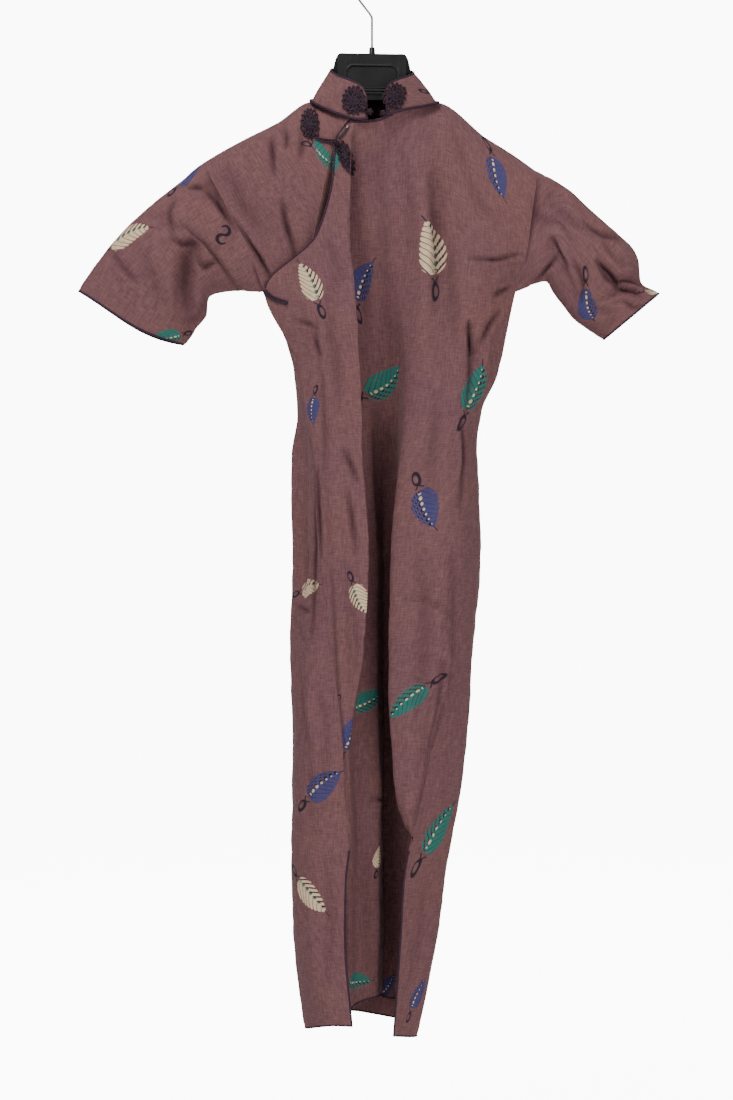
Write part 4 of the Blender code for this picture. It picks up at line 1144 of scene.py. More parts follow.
    def rims(self, rows: int, columns: int, count: int) -> tuple[np.ndarray, np.ndarray]:
        """The narrow faces along the open edges, and their flat places.

        Args:
            rows: rows of points.
            columns: columns of points.
            count: how many points one side of the shell has.

        Returns:
            The faces, and their corners' flat places.
        """
        row, column = np.indices((rows, columns + self.closed))
        edges = [(row[0], column[0]), (row[-1], column[-1])]
        if not self.closed:
            edges += [(row[:, 0], column[:, 0]), (row[:, -1], column[:, -1])]
        faces = []
        flat = []
        for line, place in edges:
            number = line * columns + place % columns
            spot = np.stack([self.across[line, place], self.up[line, place]], axis=-1)
            start = number[:-1]
            end = number[1:]
            faces.append(np.stack([start, end, end + count, start + count], axis=1))
            flat.append(np.stack([spot[:-1], spot[1:], spot[1:], spot[:-1]], axis=1))
        return np.concatenate(faces), np.concatenate(flat)

    def print_motifs(self, mesh: bpy.types.Mesh, flat: np.ndarray, outer: int,
                     motifs: Sequence[Motif]) -> None:
        """Gives each outer face its corners' places in its motif's own frame, and the motif's number.

        Args:
            mesh: the shell's mesh.
            flat: flat places of every face's corners.
            outer: how many of the first faces are on the outer side.
            motifs: the motifs.
        """
        unprinted = 9.0
        probe = 8.0
        margin = 1.05
        local = np.full(flat.shape, unprinted)
        kinds = np.zeros(len(flat))
        bends = np.zeros(len(flat))
        nearest = np.full(len(flat), np.inf)
        centres = flat.mean(axis=1)
        for motif in motifs:
            hidden = motif.middle[1] < 0
            named = np.array(motif.middle if hidden else PHOTO.flat(motif.middle))
            angle = math.radians(motif.turn)
            ahead = np.array([math.cos(angle), math.sin(angle)])
            middle = np.array(self.find_seen(named, hidden))
            ends = [np.array(self.find_seen(named + ahead * step, hidden)) for step in (probe, -probe)]
            way = ends[0] - ends[1]
            if not 2 <= np.linalg.norm(way) <= 60:
                way = ahead
            way = way / np.linalg.norm(way)
            away = (flat - middle) / motif.length
            reach = np.linalg.norm(centres - middle, axis=1) / motif.length
            mine = (reach < margin) & (reach < nearest)
            mine[outer:] = False
            nearest = np.where(mine, reach, nearest)
            local[mine] = np.stack([away[mine] @ way, away[mine] @ np.array([-way[1], way[0]])], axis=-1)
            kinds[mine] = motif.kind.value
            bends[mine] = motif.bend
        place = mesh.uv_layers.new(name="motif")
        place.data.foreach_set("uv", local.astype(np.float32).ravel())
        for label, values in (("motif_kind", kinds), ("motif_bend", bends)):
            layer = mesh.attributes.new(label, "FLOAT", "FACE")
            layer.data.foreach_set("value", values.astype(np.float32))
        mesh.uv_layers.active_index = 0


class Cloth:
    """The frontmost side of some of a sheet, for placing what lies on it."""

    def __init__(self, grid: np.ndarray, near: np.ndarray) -> None:
        """Keeps the sheet's triangles at some of its points.

        Args:
            grid: the sheet's points.
            near: which of them to keep.
        """
        quads = (grid[:-1, :-1], grid[:-1, 1:], grid[1:, 1:], grid[1:, :-1])
        low_left, low_right, high_right, high_left = (quad[near[:-1, :-1]] for quad in quads)
        self.first = np.concatenate([low_left, low_left])
        self.along = np.concatenate([low_right, high_right]) - self.first
        self.aside = np.concatenate([high_right, high_left]) - self.first
        self.points = grid[near]

    def depth(self, x: float, z: float) -> float:
        """How far behind the hook the frontmost cloth is, at a place seen from the front.

        Args:
            x: the place across.
            z: the place up.

        Returns:
            The depth in millimetres.
        """
        tiny = 1e-6
        place_x = x - self.first[:, 0]
        place_z = z - self.first[:, 2]
        area = self.along[:, 0] * self.aside[:, 2] - self.along[:, 2] * self.aside[:, 0]
        area = np.where(np.abs(area) < 1e-9, 1e-9, area)
        u = (place_x * self.aside[:, 2] - place_z * self.aside[:, 0]) / area
        v = (self.along[:, 0] * place_z - self.along[:, 2] * place_x) / area
        inside = (u >= -tiny) & (v >= -tiny) & (u + v <= 1 + tiny)
        if not inside.any():
            gaps = np.hypot(self.points[:, 0] - x, self.points[:, 2] - z)
            return float(self.points[gaps < gaps.min() + 4, 1].min())
        return float((self.first[:, 1] + u * self.along[:, 1] + v * self.aside[:, 1])[inside].min())


class Value:
    """A number in a node tree. Plain arithmetic on it makes the tree's Math nodes."""

    def __init__(self, nodes: "Nodes", socket: bpy.types.NodeSocket) -> None:
        """Keeps the number's tree and its socket."""
        self.nodes = nodes
        self.socket = socket

    def __add__(self, other: object) -> "Value":
        """The sum."""
        return self.nodes.math("ADD", self, other)

    def __sub__(self, other: object) -> "Value":
        """The difference."""
        return self.nodes.math("SUBTRACT", self, other)

    def __rsub__(self, other: object) -> "Value":
        """The difference from a plain number."""
        return self.nodes.math("SUBTRACT", other, self)

    def __mul__(self, other: object) -> "Value":
        """The product."""
        return self.nodes.math("MULTIPLY", self, other)

    def __truediv__(self, other: object) -> "Value":
        """The quotient."""
        return self.nodes.math("DIVIDE", self, other)

    def __pow__(self, other: object) -> "Value":
        """The power."""
        return self.nodes.math("POWER", self, other)

    def __abs__(self) -> "Value":
        """The size without its sign."""
        return self.nodes.math("ABSOLUTE", self)

    def fract(self) -> "Value":
        """The part after the point."""
        return self.nodes.math("FRACT", self)

    def at_least(self, other: object) -> "Value":
        """The larger of two."""
        return self.nodes.math("MAXIMUM", self, other)

    def at_most(self, other: object) -> "Value":
        """The smaller of two."""
        return self.nodes.math("MINIMUM", self, other)

    def over(self, edge: float) -> "Value":
        """One above an edge, and zero otherwise."""
        return self.nodes.math("GREATER_THAN", self, edge)

    def ramp(self, slope: float, start: float) -> "Value":
        """A straight ramp that is held between 0 and 1."""
        return self.nodes.math("MULTIPLY_ADD", self, slope, start, clamp=True)

    def below(self, edge: object, soft: float) -> "Value":
        """One under an edge, falling softly to zero past it."""
        return self.nodes.math("SUBTRACT", edge, self).ramp(1 / soft, 0.5)

    def above(self, edge: object, soft: float) -> "Value":
        """Zero under an edge, rising softly to one past it."""
        return (self - edge).ramp(1 / soft, 0.5)


class Nodes:
    """Places and joins nodes of one tree."""

    def __init__(self, tree: bpy.types.NodeTree) -> None:
        """Keeps the tree."""
        self.tree = tree

    def add(self, kind: str, inputs: Inputs | None = None, **settings: object) -> bpy.types.Node:
        """A new node, its plain settings set by name and its inputs by name or number.

        Args:
            kind: the node's type.
            inputs: values or outputs for its inputs.
            settings: its plain settings.

        Returns:
            The node.
        """
        node = self.tree.nodes.new(kind)
        for key, value in settings.items():
            setattr(node, key, value)
        self.fill(node, inputs or {})
        return node

    def fill(self, node: bpy.types.Node, inputs: Inputs) -> None:
        """Joins a node's inputs to outputs, or gives them plain values, colours with full alpha.

        Args:
            node: the node.
            inputs: values or outputs for its inputs.
        """
        for key, value in inputs.items():
            socket = node.inputs[key]
            if isinstance(value, Value):
                value = value.socket
            if isinstance(value, bpy.types.NodeSocket):
                self.tree.links.new(value, socket)
            else:
                socket.default_value = (*value, 1.0) if socket.type == "RGBA" else value

    def math(self, operation: str, *values: object, clamp: bool = False) -> Value:
        """The result of a Math node on outputs or numbers."""
        node = self.add("ShaderNodeMath", dict(enumerate(values)), operation=operation, use_clamp=clamp)
        return Value(self, node.outputs[0])

    def mix(self, part: object, first: object, second: object) -> bpy.types.NodeSocket:
        """A colour between two, by a part from 0 to 1."""
        return self.add("ShaderNodeMix", {0: part, 6: first, 7: second}, data_type="RGBA").outputs[2]

    def noise(self, place: object, scale: float, detail: float = 2.0, rough: float = 0.5) -> Value:
        """A Noise Texture's value at a place."""
        inputs = {"Vector": place, "Scale": scale, "Detail": detail, "Roughness": rough}
        return Value(self, self.add("ShaderNodeTexNoise", inputs).outputs["Fac"])

    def split(self, place: object) -> tuple[Value, Value]:
        """The first two numbers of a place."""
        parts = self.add("ShaderNodeSeparateXYZ", {0: place}).outputs
        return Value(self, parts[0]), Value(self, parts[1])

    def face_value(self, label: str) -> Value:
        """A number that the mesh carries."""
        return Value(self, self.add("ShaderNodeAttribute", attribute_name=label).outputs["Fac"])

    def bump(self, strength: float, distance: float, **inputs: object) -> bpy.types.NodeSocket:
        """A Bump node's normal. Its distance is in millimetres."""
        plain = {"Strength": strength, "Distance": distance * MM}
        return self.add("ShaderNodeBump", plain | inputs).outputs[0]


def new_group(name: str, inputs: dict[str, float | None], outputs: Sequence[str]) -> tuple[Nodes, ...]:
    """An empty shader node group whose outputs are numbers.

    Args:
        name: the group's name.
        inputs: each input's default, or None where it is a place.
        outputs: the outputs' names.

    Returns:
        Its helper, its input node and its output node.
    """
    tree = bpy.data.node_groups.new(name, "ShaderNodeTree")
    for key, value in inputs.items():
        kind = "NodeSocketVector" if value is None else "NodeSocketFloat"
        socket = tree.interface.new_socket(name=key, in_out="INPUT", socket_type=kind)
        if value is not None:
            socket.default_value = value
    for key in outputs:
        tree.interface.new_socket(name=key, in_out="OUTPUT", socket_type="NodeSocketFloat")
    nodes = Nodes(tree)
    return nodes, nodes.add("NodeGroupInput"), nodes.add("NodeGroupOutput")


def new_material(name: str) -> tuple[Material, Nodes, bpy.types.Node]:
    """A new material, its tree's helper and its shader.

    Args:
        name: the material's name.

    Returns:
        The material, its tree's helper and its shader node.
    """
    material = bpy.data.materials.new(name)
    material.use_nodes = True
    return material, Nodes(material.node_tree), material.node_tree.nodes["Principled BSDF"]


def slub_group() -> bpy.types.NodeTree:
    """The cross-woven cloth's threads: streaks of thick and thin threads both ways, and a height.

    Returns:
        The group's tree.
    """
    inputs = {"Place": None, "Threads": 950.0, "Slub Length": 12.0}
    nodes, given, result = new_group("slubbed_weave", inputs, ("Weft", "Warp", "Height"))
    x, y = nodes.split(given.outputs["Place"])
    threads = Value(nodes, given.outputs["Threads"])
    along = threads / given.outputs["Slub Length"]
    streaks = []
    for first, second, shift in ((along, threads, 3.1), (threads, along, 7.7)):
        place = nodes.add("ShaderNodeCombineXYZ", {0: x * first, 1: y * second, 2: shift})
        streaks.append(nodes.noise(place.outputs[0], 1.0, 1.5, 0.6))
    weft, warp = streaks
    nodes.fill(result, {"Weft": weft, "Warp": warp, "Height": weft + warp})
    return nodes.tree


def leaf_group() -> bpy.types.NodeTree:
    """One printed leaf with a full side and a cut side, spots along its midrib, and a looped stem.

    Its base is at -0.5 and its tip at 0.5 along its own first axis.

    Returns:
        The group's tree.
    """
    inputs = {"Place": None, "Bend": 0.25, "Kind": 0.0, "Lobes": 7.0}
    nodes, given, result = new_group("scattered_leaf", inputs, ("Blade", "Line", "Spot"))
    bend, kind, lobes = (Value(nodes, given.outputs[key]) for key in ("Bend", "Kind", "Lobes"))
    x, y = nodes.split(given.outputs["Place"])
    soft = 0.014
    tiny = 0.0001
    along = x + 0.5
    aside = y - (x * x - 0.25) * bend
    out = abs(aside)
    full = aside.over(0.0)
    cut = 1.0 - full

    # Long lobes sweep forward from the midrib; the blade is round at its base and pointed at its tip
    slanted = along - (out * 0.70 + out * out * 1.3)
    wide = (along + 0.02).at_least(tiny) ** 0.44 * (1.0 - along).at_least(tiny) ** 0.80 * 0.74
    wide = wide * (full * 0.34 + 0.70)
    centred = abs((slanted * lobes).fract() - 0.5)
    bulge = 1.0 - centred * centred * (full * -0.05 + 0.7)
    share = out / wide.at_least(0.01)
    opening = full * (share * 0.09 + 0.015) + cut * (share * 0.16 + 0.07)
    on_blade = along.below(0.99, soft) * along.above(0.0, soft)
    blade = out.below(wide * bulge, soft) * centred.below(0.5 - opening, 0.05) * on_blade

    # Dark dashes between the cut side's lobes, and a dark line in each full lobe
    rift = 0.5 - centred
    dash = 1.0 - (out * 21.0).fract().over(0.55)
    dashes = dash * rift.below(0.20, 0.08) * cut * share.below(0.86, 0.1) * on_blade
    veins = rift.below(0.05, 0.05) * full * share.below(0.95, 0.08) * share.above(0.12, 0.08) * on_blade
    tail = out.below(0.010, soft) * abs(along - 1.05).below(0.08, soft)

    # The stem's loop, apart from the blade, with its two ends crossing
    loop_x = (along + 0.31) * 0.5
    loop_y = aside - (along + 0.1) * 0.30
    ring = abs((loop_x * loop_x + loop_y * loop_y) ** 0.5 - 0.074).below(loop_y * 0.10 + 0.022, soft)
    cross = (along + 0.15) * 0.9
    ends = abs(loop_y - cross).at_most(abs(loop_y + cross)).below(0.020, soft)
    ends = ends * abs(along + 0.12).below(0.07, soft)

    # Round spots along the midrib, smaller towards the tip
    beat = ((along * lobes + 0.2).fract() - 0.5) / lobes
    spread = (beat * beat + aside * aside * 1.6) ** 0.5
    on_midrib = along.below(0.92, soft) * along.above(0.06, soft)
    spot = spread.below((1.25 - along) * 0.044, soft) * on_midrib
    shade = abs(aside + 0.035).below(0.014, soft) * abs(beat).below(0.045, soft) * on_midrib
    line = dashes.at_least(veins).at_least(tail).at_least(ring).at_least(ends).at_least(shade)

    # A curl printed by itself, or a stem's loop by itself
    hooks = []
    for shift, side in ((-0.22, 1.0), (0.22, -1.0)):
        curl_x = x + shift
        curl_y = y * side
        reach = (curl_x * curl_x + curl_y * curl_y * 0.7) ** 0.5
        arc = abs(reach - 0.21).below(curl_y * 0.10 + 0.055, 0.03)
        hooks.append(arc * curl_y.over(0.0).at_least((curl_x * side).over(0.08)))
    lone = abs((x * x + y * y * 1.5) ** 0.5 - 0.12).below(0.045, 0.03)
    is_ring = kind.over(Print.RING.value - 0.5)
    past_leaves = kind.over(Print.CURL.value - 0.5)
    is_leaf = kind.over(Print.CREAM.value - 0.5) - past_leaves
    drawn = line * is_leaf + hooks[0].at_least(hooks[1]) * (past_leaves - is_ring) + lone * is_ring
    nodes.fill(result, {"Blade": blade * is_leaf, "Line": drawn, "Spot": spot * is_leaf})
    return nodes.tree


@dataclass(frozen=True)
class SlubbedCloth:
    """Plum cross-woven cloth with a scattered leaf print. Colours are linear."""

    brown: Colour = (0.150, 0.068, 0.066)
    purple: Colour = (0.132, 0.060, 0.073)
    dark: Colour = (0.076, 0.030, 0.040)
    light: Colour = (0.230, 0.122, 0.108)
    # Colour of the painted shade in crease troughs
    fold: Colour = (0.034, 0.013, 0.017)
    cream: Colour = (0.640, 0.480, 0.315)
    blue: Colour = (0.043, 0.047, 0.148)
    teal: Colour = (0.010, 0.150, 0.122)
    ink: Colour = (0.012, 0.010, 0.020)
    roughness: float = 0.86
    crumple: float = 0.55

    def material(self, name: str, weave: bpy.types.NodeTree, leaf: bpy.types.NodeTree) -> Material:
        """The cloth's material.

        Args:
            name: its name.
            weave: the shader group of threads.
            leaf: the shader group of the printed leaf.

        Returns:
            The new material.
        """
        material, nodes, shader = new_material(name)
        place = nodes.add("ShaderNodeUVMap", uv_map="cloth").outputs[0]
        motif = nodes.add("ShaderNodeUVMap", uv_map="motif").outputs[0]
        kind = nodes.face_value("motif_kind")
        bend = nodes.face_value("motif_bend")
        threads = nodes.add("ShaderNodeGroup", {"Place": place}, node_tree=weave).outputs
        height = Value(nodes, threads["Height"])
        colour = nodes.mix(nodes.noise(place, 7.0, 3.0, 0.6).ramp(2.4, -0.7), self.brown, self.purple)
        colour = nodes.mix(height.ramp(-2.2, 2.45) * 0.46, colour, self.dark)
        colour = nodes.mix(height.ramp(2.2, -1.95) * 0.46, colour, self.light)
        drawn = nodes.add("ShaderNodeGroup", {"Place": motif, "Bend": bend, "Kind": kind}, node_tree=leaf)
        blade, line, spot = (Value(nodes, socket) for socket in drawn.outputs)
        is_blue = kind.over(Print.BLUE.value - 0.5)
        print_colour = nodes.mix(is_blue, self.cream, self.blue)
        print_colour = nodes.mix(kind.over(Print.TEAL.value - 0.5), print_colour, self.teal)
        rubbed = Value(nodes, threads["Weft"]).ramp(-1.1, 1.45)
        colour = nodes.mix(blade * rubbed, colour, print_colour)
        colour = nodes.mix(line * 0.93, colour, self.ink)
        colour = nodes.mix(spot * rubbed, colour, nodes.mix(is_blue, self.teal, self.cream))
        # Painted shade: the cloth darkens towards the fold colour along crease troughs, where shadow falls
        colour = nodes.mix(nodes.face_value("crease_shade") * 0.86, colour, self.fold)
        ridges = {"Vector": place, "Scale": 22.0, "Detail": 3.0}
        crease = nodes.add("ShaderNodeTexNoise", ridges, noise_type="RIDGED_MULTIFRACTAL").outputs["Fac"]
        coarse = nodes.bump(0.5, self.crumple, Height=crease)
        fine = nodes.bump(0.5, 0.25, Height=height, Normal=coarse)
        nodes.fill(shader, {
            "Base Color": colour, "Roughness": self.roughness, "Sheen Weight": 0.05, "Sheen Roughness": 0.4,
            "Specular IOR Level": 0.12, "Normal": fine,
        })
        return material


@dataclass(frozen=True)
class CordFinish:
    """Dark purple bias binding or cord."""

    colour: Colour = (0.026, 0.012, 0.024)
    light: Colour = (0.060, 0.029, 0.050)
    roughness: float = 0.7
    threads: float = 1500.0

    def material(self, name: str) -> Material:
        """The binding's material, with fine slanting threads.

        Args:
            name: its name.

        Returns:
            The new material.
        """
        material, nodes, shader = new_material(name)
        place = nodes.add("ShaderNodeTexCoord").outputs["Object"]
        tone = nodes.noise(place, 240.0, 3.0, 0.65).ramp(1.2, -0.4)
        bands = {"Vector": place, "Scale": self.threads / 4, "Distortion": 1.5}
        wave = nodes.add("ShaderNodeTexWave", bands, bands_direction="DIAGONAL").outputs["Fac"]
        part = nodes.math("MULTIPLY_ADD", wave, 0.35, tone, clamp=True)
        nodes.fill(shader, {
            "Base Color": nodes.mix(part, self.colour, self.light), "Roughness": self.roughness,
            "Specular IOR Level": 0.12, "Normal": nodes.bump(0.6, 0.2, Height=wave),
        })
        return material


@dataclass(frozen=True)
class MouldedPlastic:
    """Satin black moulded plastic."""

    colour: Colour = (0.006, 0.006, 0.0065)
    dusty: Colour = (0.012, 0.012, 0.013)
    roughness: float = 0.42

    def material(self, name: str) -> Material:
        """The plastic's material: fine grain, with dust on it.

        Args:
            name: its name.

        Returns:
            The new material.
        """
        material, nodes, shader = new_material(name)
        place = nodes.add("ShaderNodeTexCoord").outputs["Object"]
        grain = nodes.noise(place, 900.0)
        dust = nodes.noise(place, 38.0, 4.0, 0.6)
        nodes.fill(shader, {
            "Base Color": nodes.mix(dust.ramp(1.6, -0.75), self.colour, self.dusty),
            "Specular IOR Level": 0.3, "Roughness": dust * 0.3 + (self.roughness - 0.12),
            "Normal": nodes.bump(0.15, 0.1, Height=grain),
        })
        return material


@dataclass(frozen=True)
class PlatedWire:
    """Bright plated steel."""

    colour: Colour = (0.66, 0.66, 0.67)
    dull: Colour = (0.50, 0.50, 0.51)
    roughness: float = 0.24

    def material(self, name: str) -> Material:
        """The wire's material, with faint drawn lines.

        Args:
            name: its name.

        Returns:
            The new material.
        """
        material, nodes, shader = new_material(name)
        marks = nodes.noise(nodes.add("ShaderNodeTexCoord").outputs["Object"], 160.0, 4.0, 0.6)
        nodes.fill(shader, {
            "Base Color": nodes.mix(marks, self.dull, self.colour), "Metallic": 1.0,
            "Roughness": marks * 0.2 + (self.roughness - 0.08),
        })
        return material


class Finishes:
    """Every finish of the dress, each made once."""

    def __init__(self) -> None:
        """Makes the materials."""
        cord = CordFinish(colour=(0.014, 0.008, 0.013), light=(0.062, 0.034, 0.054))
        edge = CordFinish(colour=(0.120, 0.055, 0.055), light=(0.300, 0.170, 0.150))
        strap = CordFinish(colour=(0.022, 0.020, 0.024), light=(0.060, 0.056, 0.062))
        self.cloth = SlubbedCloth().material("slubbed_cloth", slub_group(), leaf_group())
        self.binding = CordFinish().material("purple_binding")
        self.cord = cord.material("frog_cord")
        self.edge = edge.material("folded_edge")
        self.strap = strap.material("grey_strap")
        self.plastic = MouldedPlastic().material("moulded_plastic")
        self.wire = PlatedWire().material("plated_wire")


@dataclass
class Dress:
    """The cut and sewn cloth: two panels, the small front, two sleeves, the collar and their bindings."""

    finishes: Finishes
    step: float = 3.6
    across: int = 12
    thick: float = 0.9
    collar_thick: float = 1.7
    seam_gap: float = 0.1
    tucked: int = 3
    sheets: dict[str, Sheet] = field(default_factory=dict)
    pieces: dict[str, bpy.types.Object] = field(default_factory=dict)
    carried: dict[str, list[bpy.types.Object]] = field(default_factory=dict)

    def build(self) -> None:
        """Makes every piece of cloth with its bindings."""
        self.build_panels()
        self.build_sleeves()
        self.build_collar()
        self.bind_neckline()

    def bind(self, name: str, line: np.ndarray, inward: np.ndarray, outward: np.ndarray, wide: float,
             thick: float = 1.05, closed: bool = False, material: Material | None = None) -> None:
        """A rolled bias binding along an edge.

        Args:
            name: the piece's name.
            line: the edge's points.
            inward: at each, the way into the cloth.
            outward: at each, the way off the cloth's outer side.
            wide: half its width.
            thick: half its thickness.
            closed: whether it joins its own start.
            material: its finish, where it isn't the binding's.
        """
        inward = unit(inward)
        over = unit(outward - inward * np.sum(outward * inward, axis=-1, keepdims=True))
        points, faces = tube(line + inward * wide, inward, over, wide, thick, closed)
        obj = solid_piece(name + "_roll", points, faces, material or self.finishes.binding)
        self.pieces[name] = finish_piece(obj, "binding", *([name] if name in frame["nodes"] else []))

    def build_panels(self) -> None:
        """Front, back and small front, with the bindings of their slits, hems and opening."""
        front_rows = FRONT_CUT.rows(UNDERARM)
        back_rows = BACK_CUT.rows(UNDERARM)
        counts = span_steps(front_rows, self.step)
        front = smooth_grid(front_rows, self.across, counts)
        back = smooth_grid(back_rows, self.across, counts)
        self.slit = sum(counts[:3])
        self.underarm = sum(counts[:12])
        level = np.arange(len(front))
        open_row = (level < self.slit) | (level > self.underarm)
        left = np.where(open_row, 0.1, self.seam(front[:, 1] - front[:, 0], back[:, 1] - back[:, 0]))
        right = np.where(open_row, 0.1, self.seam(front[:, -2] - front[:, -1], back[:, -2] - back[:, -1]))
        self.front = front
        self.back = back
        cut = trim_columns(trim_rows(front, left, right), 0.6, 0.2)
        sheet = Sheet(cut, 1, middle=4 * self.across)
        sheet.swell(FRONT_CREASES, 0.75, 11)
        self.add_sheet("front_panel", sheet, FRONT_MOTIFS)
        cut = trim_columns(trim_rows(back, left, right), 0.6, 0.2)
        sheet = Sheet(cut, -1, middle=6 * self.across)
        sheet.swell(BACK_CREASES, 0.75, 23)
        self.add_sheet("back_panel", sheet, BACK_MOTIFS)
        for label in ("front", "back"):
            self.bind_hem(label)
        self.bind_opening()
        self.underlap_start = max(2, counts[11] // 3)
        self.underlap = smooth_grid(
            UNDERLAP_CUT.rows(UNDERARM), self.across, [self.underlap_start] + counts[12:]
        )
        ends = np.zeros(len(self.underlap))
        cut = trim_columns(trim_rows(self.underlap, ends + 0.1, ends), 0.0, 0.2)
        sheet = Sheet(self.tuck_under(cut), 1)
        sheet.swell(UNDERLAP_CREASES, 0.7, 37)
        self.add_sheet("underlap", sheet, UNDERLAP_MOTIFS)

    def tuck_under(self, grid: np.ndarray) -> np.ndarray:
        """Turns the small front's inner edge under, so that the opening's gap shows cloth in shade.

        Args:
            grid: the small front's points.

        Returns:
            The points with some columns more.
        """
        low = -420
        high = -208
        height = grid[:, -1, 2]
        part = np.clip((height - low) / 60, 0, 1) * np.clip((high - height) / 40, 0, 1)
        way = np.array([3.2, 2.2, 0.0]) * (0.05 + part[:, None])
        added = [grid[:, -1] + way * step for step in range(1, self.tucked + 1)]
        return np.concatenate([grid, np.stack(added, axis=1)], axis=1)

    def seam(self, first: np.ndarray, second: np.ndarray) -> np.ndarray:
        """How far a panel stops short of a seam, from the ways in which the two panels leave it.

        Args:
            first: at each point, the way into one panel.
            second: the way into the other.

        Returns:
            The length to cut off each row's end.
        """
        cosine = np.clip(np.sum(unit(first) * unit(second), axis=-1), -1, 1)
        half = np.maximum(np.arccos(cosine) / 2, 0.12)
        return self.seam_gap / 2 + self.thick / 2 / np.tan(half) * (half < 1.5)

    def add_sheet(self, name: str, sheet: Sheet, motifs: Sequence[Motif], thick: float | None = None) -> None:
        """Makes a sheet's shell in the place of its CAD node.

        Args:
            name: the CAD node's name.
            sheet: the sheet.
            motifs: what is printed on it.
            thick: its thickness, where it isn't the dress's.
        """
        obj = sheet.shell(name + "_cloth", thick or self.thick, self.finishes.cloth, motifs)
        self.sheets[name] = sheet
        self.pieces[name] = finish_piece(obj, "cloth", name)

    def bind_hem(self, label: str) -> None:
        """Binds a panel's slits and hem.

        Args:
            label: front or back.
        """
        sheet = self.sheets[f"{label}_panel"]
        grid = sheet.grid
        rows = self.slit - 1
        left_in = grid[:, 1] - grid[:, 0]
        right_in = grid[:, -2] - grid[:, -1]
        low_in = grid[1] - grid[0]
        up = slice(1, rows + 1)
        down = slice(rows, 0, -1)
        line = np.concatenate([grid[down, 0], grid[0], grid[up, -1]])
        inward = unit(np.concatenate([left_in[down], low_in, right_in[up]]))
        for corner in (rows, rows + grid.shape[1] - 1):
            inward[corner] = unit(inward[corner - 2] + inward[corner + 2])
        outward = np.concatenate([sheet.outward[down, 0], sheet.outward[0], sheet.outward[up, -1]])
        self.bind(f"binding_{label}_hem", line - inward * 0.5, inward, outward, 1.35)

    def bind_opening(self) -> None:
        """Binds the slanting edge of the front."""
        sheet = self.sheets["front_panel"]
        grid = sheet.grid[self.underarm + 1 :]
        inward = grid[:, 1] - grid[:, 0]
        self.bind("binding_opening", grid[:, 0], inward, sheet.outward[self.underarm + 1 :, 0], 1.7)

    def build_sleeves(self) -> None:
        """The two sleeves with their cuffs' bindings."""
        back = self.back[self.underarm + 1 : -1]
        left = np.concatenate([self.underlap[self.underlap_start :, 0][::-1], back[:, 0]])
        right = np.concatenate([self.front[self.underarm :, -1][::-1], back[:, -1]])
        for name, armhole, rings, turn, creases, motifs, seed in (
            ("left", left, SLEEVE_LEFT, 1, LEFT_CREASES, LEFT_MOTIFS, 51),
            ("right", right, SLEEVE_RIGHT, -1, RIGHT_CREASES, RIGHT_MOTIFS, 67),
        ):
            grid = self.sleeve_grid(armhole, rings, turn)
            for folds, facing in ((FRONT_FOLDS, -1), (BACK_FOLDS, 1)):
                self.press_folds(grid, folds, facing)
            cut = trim_columns(grid, 0.05, 0.6)
            trial = Sheet(cut, 1, closed=True)
            outwards = np.sum((cut - cut.mean(axis=1, keepdims=True)) * trial.outward) > 0
            sheet = Sheet(cut, 1 if outwards else -1, closed=True)
            sheet.swell(creases, 0.75, seed)
            self.add_sheet(f"sleeve_{name}", sheet, motifs)
            inward = sheet.grid[-2] - sheet.grid[-1]
            line = sheet.grid[-1] - unit(inward) * 0.5
            self.bind(f"binding_cuff_{name}", line, inward, sheet.outward[-1], 1.5, closed=True)

    def sleeve_grid(self, armhole: np.ndarray, rings: Sequence[SleeveRing], turn: int) -> np.ndarray:
        """The sleeve's sheet from the armhole out to the cuff.

        Args:
            armhole: the points round the armhole.
            rings: the rings out to the cuff.
            turn: 1 or -1, for the way the points go round.

        Returns:
            The grid of points.
        """
        half = len(armhole) // 2
        rows = [armhole]
        angle = np.pi * np.arange(2 * half) / half
        part = (1 - np.cos(angle)) / 2
        side = np.sin(angle)
        for ring in rings:
            top = np.array([ring.top[0], 0, ring.top[1]], float)
            bottom = np.array([ring.bottom[0], 0, ring.bottom[1]], float)
            fall = unit(bottom - top)
            outward = turn * np.array([fall[2], 0, -fall[0]])
            points = top + (bottom - top) * part[:, None]
            points += outward * ring.bow * np.sin(np.pi * part**1.45)[:, None]
            points[:, 1] = np.where(side > 0, -ring.front * side, -ring.back * side)
            rows.append(points)
        counts = span_steps(rows, self.step)
        columns = [smooth_line([row[i] for row in rows], counts) for i in range(2 * half)]
        grid = np.stack(columns, axis=1)
        return grid if turn > 0 else grid[:, ::-1]

    def press_folds(self, grid: np.ndarray, folds: Sequence[Fold], facing: int) -> None:
        """Presses the solid's own folds into one side of a sleeve.

        Args:
            grid: the sleeve's points, which are changed.
            folds: the folds.
            facing: -1 for the front, 1 for the back.
        """
        trial = Sheet(grid, 1, closed=True)
        turned = np.clip(trial.outward[..., 1] * facing, 0, 1) ** 0.5
        across = grid[..., 0]
        up = grid[..., 2]
        for fold in folds:
            line = smooth_line([fold.start, fold.middle, fold.end], 6)
            best, along, _ = nearest_on_line(line, across, up)
            taper = np.clip(np.sin(np.pi * np.clip(along * 0.8 + 0.16, 0, 1)), 0, 1)
            grid[..., 1] -= facing * fold.depth * np.exp(-((best / fold.wide) ** 2)) * taper * turned

